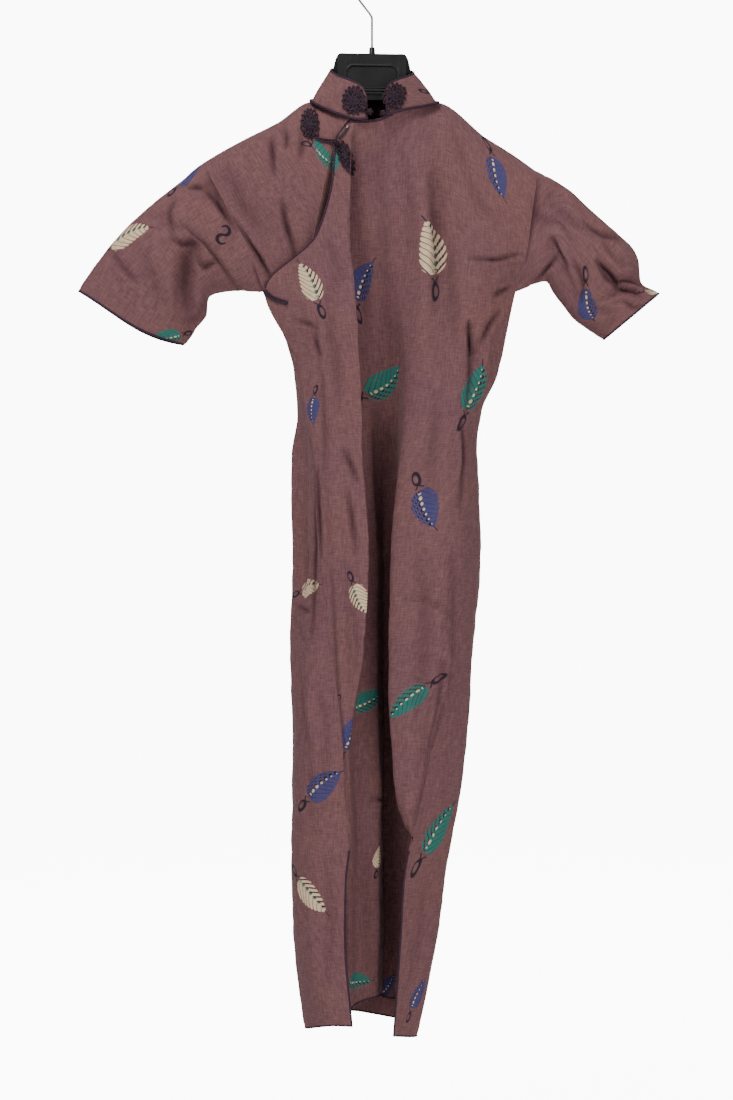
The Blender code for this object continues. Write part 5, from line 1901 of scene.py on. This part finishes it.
    def build_collar(self) -> None:
        """The stand collar, its edge binding and the piping at its foot."""
        base = smooth_line([place.base for place in COLLAR], 8)
        edge = smooth_line([place.edge for place in COLLAR], 8)
        outward = unit(np.cross(np.gradient(base, axis=0), edge - base))
        rows = []
        for part in np.linspace(0, 1, 13):
            rows.append(base + (edge - base) * part - outward * math.sin(math.pi * part))
        ends = [0.6] * len(rows)
        sheet = Sheet(trim_columns(trim_rows(np.array(rows), ends, ends), 0.6, 0.6), -1)
        sheet.swell((), 0.35, 83)
        self.add_sheet("collar", sheet, COLLAR_MOTIFS, self.collar_thick)
        final = sheet.grid
        left_in = final[:, 1] - final[:, 0]
        right_in = final[:, -2] - final[:, -1]
        down = slice(-2, None, -1)
        line = np.concatenate([final[:-1, 0], final[-1], final[down, -1]])
        inward = unit(np.concatenate([left_in[:-1], final[-2] - final[-1], right_in[down]]))
        for corner in (len(final) - 1, len(final) - 2 + final.shape[1]):
            inward[corner] = unit(inward[corner - 1] + inward[corner + 1])
        out = np.concatenate([sheet.outward[:-1, 0], sheet.outward[-1], sheet.outward[down, -1]])
        self.bind("binding_collar", line - inward * 0.4, inward, out, 1.7, 1.5)
        outside = outward * np.sign((outward * (base - base.mean(axis=0))).sum(axis=1, keepdims=True))
        path = base + outside * 1.9 + np.array([0, 0, 1.2])
        cord = cord_piece("piping_neck", [path], 1.75, self.finishes.binding)
        self.pieces["binding_neck"] = finish_piece(cord, "binding", "binding_neck")

    def bind_neckline(self) -> None:
        """Binds the front's neckline, and edges the small front with a narrow fold."""
        sheet = self.sheets["front_panel"]
        end = 7 * self.across + 3
        top = sheet.grid[-1, :end]
        inward = sheet.grid[-2, :end] - top
        self.bind("binding_neckline", top, inward, sheet.outward[-1, :end], 1.9)
        under = self.sheets["underlap"]
        edge = -1 - self.tucked
        line = under.grid[:, edge]
        inward = under.grid[:, edge - 1] - line
        self.bind("edge_underlap", line, inward, under.outward[:, edge], 0.75, material=self.finishes.edge)

    def carry(self, name: str, obj: bpy.types.Object) -> None:
        """Notes a piece that is sewn to a sheet."""
        self.carried.setdefault(name, []).append(obj)

    def declare(self) -> None:
        """Measures the area, greatest width and length of each sheet; the results are not kept."""
        sewn = {
            "front_panel": ("binding_front_hem", "binding_opening", "binding_neckline"),
            "back_panel": ("binding_back_hem",),
            "underlap": ("edge_underlap",),
            "sleeve_left": ("binding_cuff_left",),
            "sleeve_right": ("binding_cuff_right",),
            "collar": ("binding_collar", "binding_neck"),
        }
        for name, bindings in sewn.items():
            area, wide, long = self.flat_area(name)

    def flat_area(self, name: str) -> tuple[float, float, float]:
        """The area of a sheet in square metres, its greatest width and its length in metres.

        Args:
            name: the sheet's name.

        Returns:
            Area, width and length.
        """
        sheet = self.sheets[name]
        whole = np.concatenate([sheet.grid, sheet.grid[:, :1]], axis=1) if sheet.closed else sheet.grid
        slant = whole[1:, 1:] - whole[:-1, :-1]
        first = np.cross(whole[:-1, 1:] - whole[:-1, :-1], slant)
        second = np.cross(slant, whole[1:, :-1] - whole[:-1, :-1])
        area = (np.linalg.norm(first, axis=2) + np.linalg.norm(second, axis=2)).sum() / 2
        widths = np.linalg.norm(np.diff(whole, axis=1), axis=2).sum(axis=1)
        lengths = np.linalg.norm(np.diff(whole, axis=0), axis=2).sum(axis=0)
        return float(area) * 1e-6, float(widths.max()) * MM, float(lengths.max()) * MM


@dataclass(frozen=True)
class Rosette:
    """A frog's flower of looped cord: its middle from the front, half width and height, turn, petals."""

    node: str
    sheet: str
    middle: Pixel
    half_wide: float
    half_high: float
    turn: float
    petals: int


ROSETTES = (
    Rosette("frog_collar_left", "collar", (353.0, 100.0), 18.0, 24.0, 18, 5),
    Rosette("frog_collar_right", "collar", (396.5, 95.5), 17.0, 23.0, -12, 5),
    Rosette("frog_opening_left", "underlap", (309.8, 123.5), 14.0, 27.5, 8, 5),
    Rosette("frog_opening_right", "front_panel", (343.0, 157.5), 12.0, 25.5, 26, 4),
)


@dataclass
class Fastenings:
    """Frogs of looped cord, knots, straps, the underarm loop and the stud at the neck."""

    finishes: Finishes
    dress: Dress
    cord: float = 0.85
    knot: float = 3.2
    strap_neck: tuple[Pixel, ...] = ((348, 125), (343, 131), (337, 139))
    strap_shoulder: tuple[Pixel, ...] = ((315, 137), (320, 140), (326, 142))
    underarm_loop: tuple[Pixel, ...] = ((264, 290), (273, 296), (283, 302.5))
    stud: tuple[Pixel, ...] = ((347.5, 123.5), (345.5, 126.5))
    tie_left: tuple[Pixel, ...] = ((361, 108), (366, 111))
    tie_right: tuple[Pixel, ...] = ((391, 108), (388, 112))

    def build(self) -> None:
        """Makes every fastening."""
        tree = self.rosette_tree()
        for rosette in ROSETTES:
            self.build_rosette(rosette, tree)
        self.build_knots()
        self.build_straps()
        self.build_stud()

    def rosette_tree(self) -> bpy.types.NodeTree:
        """Geometry nodes for rings of small cord loops that point outwards, the inner rings raised.

        Returns:
            The tree, with named inputs.
        """
        tree = bpy.data.node_groups.new("looped_rosette", "GeometryNodeTree")
        tree.interface.new_socket(name="Geometry", in_out="INPUT", socket_type="NodeSocketGeometry")
        tree.interface.new_socket(name="Geometry", in_out="OUTPUT", socket_type="NodeSocketGeometry")
        for key, kind, value in (
            ("Petals", "NodeSocketInt", 5), ("Radius", "NodeSocketFloat", 0.012),
            ("Petal", "NodeSocketFloat", 0.0046), ("Cord", "NodeSocketFloat", 0.0008),
        ):
            socket = tree.interface.new_socket(name=key, in_out="INPUT", socket_type=kind)
            socket.default_value = value
        nodes = Nodes(tree)
        given = nodes.add("NodeGroupInput").outputs
        circle = nodes.add("GeometryNodeCurvePrimitiveCircle", {"Resolution": 12, "Radius": given["Petal"]})
        narrow = {"Geometry": circle.outputs[0], "Scale": (1.0, 0.42, 1.0)}
        oval = nodes.add("GeometryNodeTransform", narrow)
        profile = nodes.add("GeometryNodeCurvePrimitiveCircle", {"Resolution": 6, "Radius": given["Cord"]})
        swept = {"Curve": oval.outputs[0], "Profile Curve": profile.outputs[0]}
        petal = nodes.add("GeometryNodeCurveToMesh", swept)
        join = nodes.add("GeometryNodeJoinGeometry")
        spread = 0.0022
        for ring, (share, more, lift) in enumerate(((0.22, 1, 2.2), (0.52, 2, 1.3), (0.86, 3, 0.4))):
            count = Value(nodes, given["Petals"]) * more
            radius = Value(nodes, given["Radius"]) * share
            points = nodes.add("GeometryNodeMeshCircle", {"Vertices": count, "Radius": radius})
            place = nodes.add("GeometryNodeInputPosition").outputs[0]
            limits = {"Min": (-spread, -spread, 0.0), "Max": (spread, spread, 0.0), "Seed": 5 + ring}
            jitter = nodes.add("FunctionNodeRandomValue", limits, data_type="FLOAT_VECTOR")
            away = nodes.add("ShaderNodeVectorMath", {0: place, 1: jitter.outputs[0]}, operation="ADD")
            aim = nodes.add(
                "FunctionNodeAlignRotationToVector", {"Vector": away.outputs[0]}, axis="X", pivot_axis="Z"
            )
            sizes = {2: 0.75, 3: 1.3, "Seed": 15 + ring}
            length = nodes.add("FunctionNodeRandomValue", sizes, data_type="FLOAT")
            placed = nodes.add("GeometryNodeInstanceOnPoints", {
                "Points": points.outputs[0], "Instance": petal.outputs[0], "Rotation": aim.outputs[0],
                "Scale": length.outputs[1],
            })
            raised = {"Geometry": placed.outputs[0], "Translation": (0.0, 0.0, lift * MM)}
            nodes.fill(join, {0: nodes.add("GeometryNodeTransform", raised).outputs[0]})
        real = nodes.add("GeometryNodeRealizeInstances", {0: join.outputs[0]})
        coated = {"Geometry": real.outputs[0], "Material": self.finishes.cord}
        nodes.add("NodeGroupOutput", {0: nodes.add("GeometryNodeSetMaterial", coated).outputs[0]})
        return tree

    def sew(self, sheet: str, obj: bpy.types.Object, *nodes: str, slot: str = "binding") -> None:
        """Finishes a piece and notes the sheet that it is sewn to."""
        self.dress.carry(sheet, finish_piece(obj, slot, *nodes))

    def build_rosette(self, rosette: Rosette, tree: bpy.types.NodeTree) -> None:
        """Makes one rosette and lays it on its sheet.

        Args:
            rosette: the rosette.
            tree: the geometry nodes that make its loops.
        """
        seedling = link(bpy.data.objects.new("rosette_seed", bpy.data.meshes.new("rosette_seed")))
        rule = seedling.modifiers.new("loops", "NODES")
        rule.node_group = tree
        ids = {item.name: item.identifier for item in tree.interface.items_tree if item.in_out == "INPUT"}
        rule[ids["Petals"]] = rosette.petals
        rule[ids["Cord"]] = self.cord * MM
        seedling.update_tag()
        depsgraph = bpy.context.evaluated_depsgraph_get()
        mesh = bpy.data.meshes.new_from_object(seedling.evaluated_get(depsgraph))
        flat = np.zeros(len(mesh.vertices) * 3)
        mesh.vertices.foreach_get("co", flat)
        flat = flat.reshape(-1, 3) / MM
        faces = [tuple(face.vertices) for face in mesh.polygons]
        bpy.data.objects.remove(seedling, do_unlink=True)
        reach = np.hypot(flat[:, 0], flat[:, 1]).max()
        turn = math.radians(rosette.turn)
        wide = flat[:, 0] / reach * rosette.half_wide
        high = flat[:, 1] / reach * rosette.half_high
        middle = self.on_sheet(rosette.sheet, rosette.middle)
        x = middle[0] + wide * math.cos(turn) - high * math.sin(turn)
        z = middle[2] + wide * math.sin(turn) + high * math.cos(turn)
        depth = self.depths(rosette.sheet, x, z)
        points = np.stack([x, depth - flat[:, 2] - self.cord - 0.5, z], axis=-1)
        obj = solid_piece(rosette.node + "_loops", points, faces, self.finishes.cord)
        self.sew(rosette.sheet, obj, rosette.node)

    def on_sheet(self, name: str, pixel: Pixel) -> np.ndarray:
        """The place on a sheet's front that shows at a pixel.

        Args:
            name: the sheet's name.
            pixel: the place in the photo.

        Returns:
            The place in millimetres.
        """
        grid = self.dress.sheets[name].grid
        seen = PHOTO.seen(grid)
        target = PHOTO.flat(pixel)
        gap = np.hypot(seen[..., 0] - target[0], seen[..., 1] - target[1])
        ranked = np.where(gap < gap.min() + 2.5, grid[..., 1], np.inf)
        place = np.unravel_index(np.argmin(ranked), gap.shape)
        return grid[place]

    def depths(self, name: str, x: np.ndarray, z: np.ndarray) -> np.ndarray:
        """How far behind the hook a sheet's front is, at places seen from the front.

        Args:
            name: the sheet's name.
            x: places across.
            z: places up.

        Returns:
            A depth for each place.
        """
        grid = self.dress.sheets[name].grid
        thick = self.dress.collar_thick if name == "collar" else self.dress.thick
        window = 50
        near = (np.abs(grid[..., 0] - x.mean()) < window) & (np.abs(grid[..., 2] - z.mean()) < window)
        cloth = Cloth(grid, near & (grid[..., 1] < 5))
        count = 22
        across = np.linspace(x.min() - 1, x.max() + 1, count)
        up = np.linspace(z.min() - 1, z.max() + 1, count)
        table = np.array([[cloth.depth(a, b) - thick / 2 for a in across] for b in up])
        i = np.clip(np.searchsorted(up, z) - 1, 0, count - 2)
        j = np.clip(np.searchsorted(across, x) - 1, 0, count - 2)
        v = (z - up[i]) / (up[i + 1] - up[i])
        u = (x - across[j]) / (across[j + 1] - across[j])
        low = table[i, j] * (1 - u) + table[i, j + 1] * u
        high = table[i + 1, j] * (1 - u) + table[i + 1, j + 1] * u
        return low * (1 - v) + high * v

    def laid(self, name: str, pixels: Sequence[Pixel], lift: float) -> np.ndarray:
        """A smooth path through pixels that lies a lift in front of a sheet.

        Args:
            name: the sheet's name.
            pixels: places in the photo.
            lift: how far the path lies in front of the cloth.

        Returns:
            The path's points.
        """
        places = np.array([self.on_sheet(name, pixel) for pixel in pixels])
        path = smooth_line(places, 6)
        path[:, 1] = self.depths(name, path[:, 0], path[:, 2]) - lift
        return path

    def knot_path(self, middle: np.ndarray, radius: float) -> np.ndarray:
        """A cord that winds over itself round a ball.

        Args:
            middle: the ball's middle.
            radius: the winding's radius.

        Returns:
            The path's points.
        """
        turn = np.linspace(0, 2 * np.pi, 121)[:-1]
        round_it = 3 * turn
        rise = 1.15 * np.sin(5 * turn)
        out = radius + 0.5 * np.cos(15 * turn)
        level = out * np.cos(rise)
        ball = [level * np.cos(round_it), out * np.sin(rise), level * np.sin(round_it)]
        return middle + np.stack(ball, axis=-1)

    def build_knots(self) -> None:
        """The two ball knots at the collar's front, each tied to its frog by a cord."""
        for node, place, tie in (
            ("ball_knot_left", (-3.0, -54.0, -192.0), self.tie_left),
            ("ball_knot_right", (14.0, -54.0, -194.0), self.tie_right),
        ):
            middle = np.array(place)
            ball = self.knot_path(middle, self.knot)
            self.sew("collar", cord_piece(node + "_cord", [ball], 1.25, self.finishes.cord, True), node)
            path = np.concatenate([self.laid("collar", tie, 1.6), [middle]])
            self.sew("collar", cord_piece(node + "_tie", [smooth_line(path, 3)], 1.2, self.finishes.cord))

    def build_straps(self) -> None:
        """The straps at the opening and the loop at the underarm."""
        strap = self.laid("front_panel", self.strap_neck, 1.6)
        self.sew("front_panel", cord_piece("strap_neck", [strap], 1.5, self.finishes.strap))
        tie = self.laid("underlap", self.strap_shoulder, 1.6)
        end = tie[-1] + np.array([9.0, -13.0, -3.0])
        twin = [np.concatenate([tie, [end]]) + np.array([0, 0, shift]) for shift in (-1.3, 1.3)]
        self.sew("underlap", cord_piece("strap_shoulder", twin, 1.15, self.finishes.binding))
        knot = self.knot_path(end + np.array([1.0, -2.5, -1.0]), 2.8)
        self.sew("underlap", cord_piece("knot_opening", [knot], 1.15, self.finishes.cord, True))
        path = self.laid("front_panel", self.underarm_loop, 1.8)
        along = unit(path[-1] - path[0])
        aside = np.array([-along[2], 0, along[0]]) * 1.5
        turns = np.linspace(-1.4, 1.4, 7)
        bend = [path[-1] + along * 1.6 * math.cos(turn) + aside * math.sin(turn) for turn in turns]
        loop = np.concatenate([path - aside, bend, path[::-1] + aside])
        cord = cord_piece("loop_underarm_cord", [loop], 1.45, self.finishes.binding)
        self.sew("front_panel", cord, "loop_underarm")

    def build_stud(self) -> None:
        """The small bright stud at the neck end of the opening."""
        place = self.laid("front_panel", self.stud, 2.0)
        middle = place.mean(axis=0)
        along = unit(place[-1] - place[0])
        aside = np.array([-along[2], 0, along[0]])
        toward = np.array([0.0, -1.0, 0.0])
        around = 20
        rings = ((0.35, 1.5), (0.7, 1.15), (0.92, 0.7), (1.0, 0.2), (0.95, -0.5))
        points = []
        for radius, rise in rings:
            for k in range(around):
                angle = 2 * math.pi * k / around
                wide = along * 2.6 * radius * math.cos(angle) + aside * 1.5 * radius * math.sin(angle)
                points.append(middle + wide + toward * rise)
        tip = len(points)
        points.append(middle + toward * 1.6)
        faces = [(tip, k, (k + 1) % around) for k in range(around)] + ring_faces(len(rings), around)
        faces.remove(tuple(reversed(range(around))))
        obj = solid_piece("stud_cap", np.array(points), faces, self.finishes.wire)
        self.sew("front_panel", obj, "press_stud", slot="steel")


@dataclass(frozen=True)
class ArmSection:
    """One section of the hanger's arm: distance from the middle, top height, half height, half depth."""

    out: float
    top: float
    half_high: float
    half_deep: float


HANGER_ARM = (
    ArmSection(58, -167, 8.0, 6.5),
    ArmSection(80, -191, 8.5, 9.0),
    ArmSection(134, -216, 9.0, 10.5),
    ArmSection(173, -238, 9.0, 10.5),
    ArmSection(199, -254, 7.5, 8.5),
    ArmSection(207, -261, 5.0, 6.0),
)


@dataclass
class Hanger:
    """The broad moulded hanger: arms and hump, the hump's sunk face, its collar and the wire hook."""

    finishes: Finishes
    top: float = -107.0
    foot: float = -172.0
    half_wide: float = 47.5
    half_deep: float = 16.0
    corner: float = 6.0
    tilt: float = -0.9
    wire: float = 1.6
    bend_radius: float = 22.0
    bend_foot: float = -57.0
    rail: float = 39.5
    panel_half: float = 32.5
    panel_top: float = -125.0
    panel_foot: float = -151.0
    panel_arch: float = 9.0
    ribs: tuple[float, ...] = (-153.0, -157.0, -161.0)

    def build(self) -> None:
        """Makes the hanger's pieces."""
        self.build_body()
        self.build_face()
        self.build_collar()
        self.build_hook()

    def tilted(self, points: np.ndarray) -> np.ndarray:
        """Turns points a little about the hook's foot, the right side down.

        Args:
            points: the points.

        Returns:
            The turned points.
        """
        angle = math.radians(self.tilt)
        rise = points[:, 2] - self.top
        turned = points.copy()
        turned[:, 0] = points[:, 0] * math.cos(angle) - rise * math.sin(angle)
        turned[:, 2] = self.top + points[:, 0] * math.sin(angle) + rise * math.cos(angle)
        return turned

    def build_body(self) -> None:
        """Arms and hump as one bar of rounded sections."""
        around = 32
        right = [(arm.out, arm.top - arm.half_high, arm.half_high, arm.half_deep, 2.2) for arm in HANGER_ARM]
        left = [(-x, *rest) for x, *rest in right[::-1]]
        hump = []
        low = self.foot + 2
        for part in np.linspace(-1, 1, 21):
            x = part * self.half_wide
            edge = max(0.0, abs(x) - (self.half_wide - self.corner)) / self.corner
            high = self.top - self.corner * (1 - math.sqrt(max(0.0, 1 - edge**2)))
            deep = (self.half_deep - 1.2) * (1 - 0.35 * edge**3)
            hump.append((x, (low + high) / 2, (high - low) / 2, deep, 6.0))
        rows = np.array(left + hump + right, float)
        knots = rows[:, 0]
        spans = [np.linspace(a, b, 5)[:-1] for a, b in zip(knots[:-1], knots[1:])]
        places = np.concatenate([*spans, knots[-1:]])
        angle = 2 * np.pi * (np.arange(around) + 0.5) / around
        points = []
        for x, (middle, high, deep, power) in zip(places, at_knots(knots, rows[:, 1:], places)):
            scale = (np.abs(np.cos(angle)) ** power + np.abs(np.sin(angle)) ** power) ** (-1 / power)
            up = middle + high * np.sin(angle) * scale
            points.append(np.stack([np.full(around, x), deep * np.cos(angle) * scale, up], axis=-1))
        faces = ring_faces(len(places), around)
        obj = solid_piece("hanger_bar", self.tilted(np.concatenate(points)), faces, self.finishes.plastic)
        finish_piece(obj, "hanger_plastic", "hanger_body")

    def face_height(self, x: np.ndarray, z: np.ndarray) -> np.ndarray:
        """How far the hump's face stands out: side rails, a sunk panel with an arched top, ribs below it.

        Args:
            x: places across.
            z: places up.

        Returns:
            The height at each place.
        """
        def step(value: np.ndarray, soft: float) -> np.ndarray:
            """A soft step from 0 to 1 as a value passes 0."""
            return np.clip(value / soft + 0.5, 0, 1)

        rails = 1.1 * step(5.0 - np.abs(np.abs(x) - self.rail), 1.4)
        springing = self.panel_top - self.panel_arch
        above_foot = step(z - self.panel_foot, 1.6)
        gap_x = np.maximum(np.abs(x) - (self.panel_half - self.panel_arch), 0)
        gap_z = np.maximum(z - springing, 0)
        arched = self.panel_arch - np.hypot(gap_x, gap_z)
        inside = np.where(z < springing, self.panel_half - np.abs(x), arched)
        sunk = 2.4 * step(inside, 1.6)
        rim = 0.9 * np.exp(-((inside / 1.5) ** 2))
        height = rails + (rim - sunk) * above_foot
        for rib in self.ribs:
            height += 1.3 * np.exp(-(((z - rib) / 1.0) ** 2)) * step(33.0 - np.abs(x), 2.0)
        return height

    def build_face(self) -> None:
        """The hump's front face as a thin moulded plate."""
        half = self.half_wide - 2.2
        x, part = np.meshgrid(np.linspace(-half, half, 97), np.linspace(0, 1, 67))
        edge = np.clip((np.abs(x) - half + self.corner) / self.corner, 0, 1)
        high = self.top - 1.6 - self.corner * (1 - np.sqrt(np.clip(1 - edge**2, 0, 1)))
        low = self.foot + 3
        z = low + part * (high - low)
        depths = (-self.half_deep - self.face_height(x, z), np.full(x.shape, 3.2 - self.half_deep))
        points = np.concatenate([np.stack([x, y, z], axis=-1).reshape(-1, 3) for y in depths])
        rows, columns = x.shape
        number = np.arange(rows * columns).reshape(rows, columns)
        quads = (number[:-1, :-1], number[:-1, 1:], number[1:, 1:], number[1:, :-1])
        front = np.stack([quad.ravel() for quad in quads], axis=1)
        rim = np.concatenate([number[0, :-1], number[:-1, -1], number[-1, :0:-1], number[:0:-1, 0]])
        after = np.roll(rim, -1)
        count = rows * columns
        sides = np.stack([rim, rim + count, after + count, after], axis=1)
        faces = np.concatenate([front, front[:, ::-1] + count, sides]).tolist()
        obj = solid_piece("hanger_face", self.tilted(points), faces, self.finishes.plastic)
        finish_piece(obj, "hanger_plastic")

    def build_collar(self) -> None:
        """The tapered collar from which the wire rises."""
        around = 24
        profile = ((4.6, -1.2), (4.6, 0.4), (4.2, 1.4), (3.8, 8.4), (3.3, 9.8), (1.8, 10.2))
        angles = 2 * np.pi * np.arange(around) / around
        round_it = np.stack([np.cos(angles), np.sin(angles), np.zeros(around)], axis=-1)
        points = np.concatenate([round_it * radius + (0, 0, self.top + rise) for radius, rise in profile])
        faces = ring_faces(len(profile), around)
        obj = solid_piece("hanger_collar", points, faces, self.finishes.plastic)
        finish_piece(obj, "hanger_plastic", "ferrule")

    def build_hook(self) -> None:
        """The wire from the collar up round the hook, with a rounded end."""
        centre = self.wire - self.bend_radius
        reach = centre - self.bend_foot
        tangent = math.sqrt(reach**2 - self.bend_radius**2)
        lean = math.asin(self.bend_radius / reach)
        path = [(0, 0, self.top + 8), (0, 0, -80), (0, 0, self.bend_foot - 6), (0, 0, self.bend_foot - 2)]
        for run in (0.12 * tangent, 0.5 * tangent, 0.9 * tangent):
            path.append((-math.sin(lean) * run, 0, self.bend_foot + math.cos(lean) * run))
        first = math.pi + lean
        last = -math.radians(34)
        for i in range(19):
            angle = first + (last - first) * i / 18
            path.append((self.bend_radius * math.cos(angle), 0, centre + self.bend_radius * math.sin(angle)))
        obj = cord_piece("hook_wire_bent", [smooth_line(path, 4)], self.wire, self.finishes.wire, sides=16)
        finish_piece(obj, "steel", "hook_wire")


@dataclass
class Studio:
    """Plain pale sweep, soft light and the photograph's camera."""

    floor: float = -1.62
    wall: float = 9.0
    reach: float = 16.0
    glow: float = 10.0
    room: float = 0.34

    def build(self) -> None:
        """Makes the sweep, the lights and the camera."""
        self.build_sweep()
        self.build_lights()
        self.build_camera()

    def build_sweep(self) -> None:
        """A floor that curves up into a wall."""
        material, nodes, shader = new_material("pale_paper")
        tone = nodes.noise(nodes.add("ShaderNodeTexCoord").outputs["Object"], 3.0)
        seen = Value(nodes, nodes.add("ShaderNodeLightPath").outputs["Is Camera Ray"])
        nodes.fill(shader, {
            "Base Color": nodes.mix(tone, (0.90, 0.90, 0.90), (0.93, 0.93, 0.93)), "Roughness": 0.95,
            "Specular IOR Level": 0.1, "Emission Color": (1.0, 1.0, 1.0),
            "Emission Strength": seen * self.glow,
        })
        radius = 1.2
        profile = [(-self.reach, self.floor)]
        for angle in np.linspace(0, math.pi / 2, 17):
            out = self.wall - radius + radius * math.sin(angle)
            profile.append((out, self.floor + radius * (1 - math.cos(angle))))
        profile.append((self.wall, self.reach))
        points = [(x, y, z) for y, z in profile for x in (-self.reach, self.reach)]
        faces = [(2 * i, 2 * i + 1, 2 * i + 3, 2 * i + 2) for i in range(len(profile) - 1)]
        mesh_piece("paper_sweep", np.array(points) / MM, faces, material)

    def build_lights(self) -> None:
        """Broad soft lights in front, from both sides, and an even room."""
        world = bpy.data.worlds.new("soft_room")
        world.use_nodes = True
        nodes = Nodes(world.node_tree)
        seen = Value(nodes, nodes.add("ShaderNodeLightPath").outputs["Is Camera Ray"])
        background = world.node_tree.nodes["Background"]
        nodes.fill(background, {"Color": (1.0, 1.0, 1.0), "Strength": seen * self.glow + self.room})
        bpy.context.scene.world = world
        lights = (
            ("key", (-1.2, -1.75, 2.05), 1.2, 103.0),
            ("fill", (1.8, -2.7, -0.7), 2.0, 50.0),
            ("back_glow", (0.6, 2.6, 0.9), 2.2, 60.0),
        )
        aim = Vector((0.0, 0.0, -0.75))
        for name, place, size, power in lights:
            data = bpy.data.lights.new(name, "AREA")
            data.size = size
            data.energy = power
            light = link(bpy.data.objects.new(name, data))
            light.location = place
            light.rotation_euler = (aim - Vector(place)).to_track_quat("-Z", "Y").to_euler()

    def build_camera(self) -> None:
        """The photograph's camera, level and square to the dress."""
        data = bpy.data.cameras.new("photo_camera")
        data.sensor_width = PHOTO.sensor
        data.lens = PHOTO.lens()
        camera = link(bpy.data.objects.new("photo_camera", data))
        camera.location = (PHOTO.middle_x * MM, -PHOTO.distance * MM, PHOTO.middle_z * MM)
        camera.rotation_euler = (math.radians(90), 0, 0)
        bpy.context.scene.camera = camera


def dress_nodes(finishes: Finishes) -> None:
    """Gives every CAD node that still shows its finish.

    Args:
        finishes: the dress's finishes.
    """
    looks = {
        "cloth": finishes.cloth, "binding": finishes.binding, "hanger_plastic": finishes.plastic,
        "steel": finishes.wire,
    }
    for part in frame["record"]["subparts"]:
        node = frame["nodes"][part["node"]]
        if not node.hide_render:
            node.data.materials.clear()
            node.data.materials.append(looks[part["material_slot"]])


def main() -> None:
    """Builds the dress, its hanger and the studio."""
    logging.basicConfig(level=logging.INFO, format="%(name)s %(message)s")
    finishes = Finishes()
    dress = Dress(finishes)
    dress.build()
    Fastenings(finishes, dress).build()
    Hanger(finishes).build()
    dress.declare()
    dress_nodes(finishes)
    Studio().build()


if __name__ == "__main__":
    main()
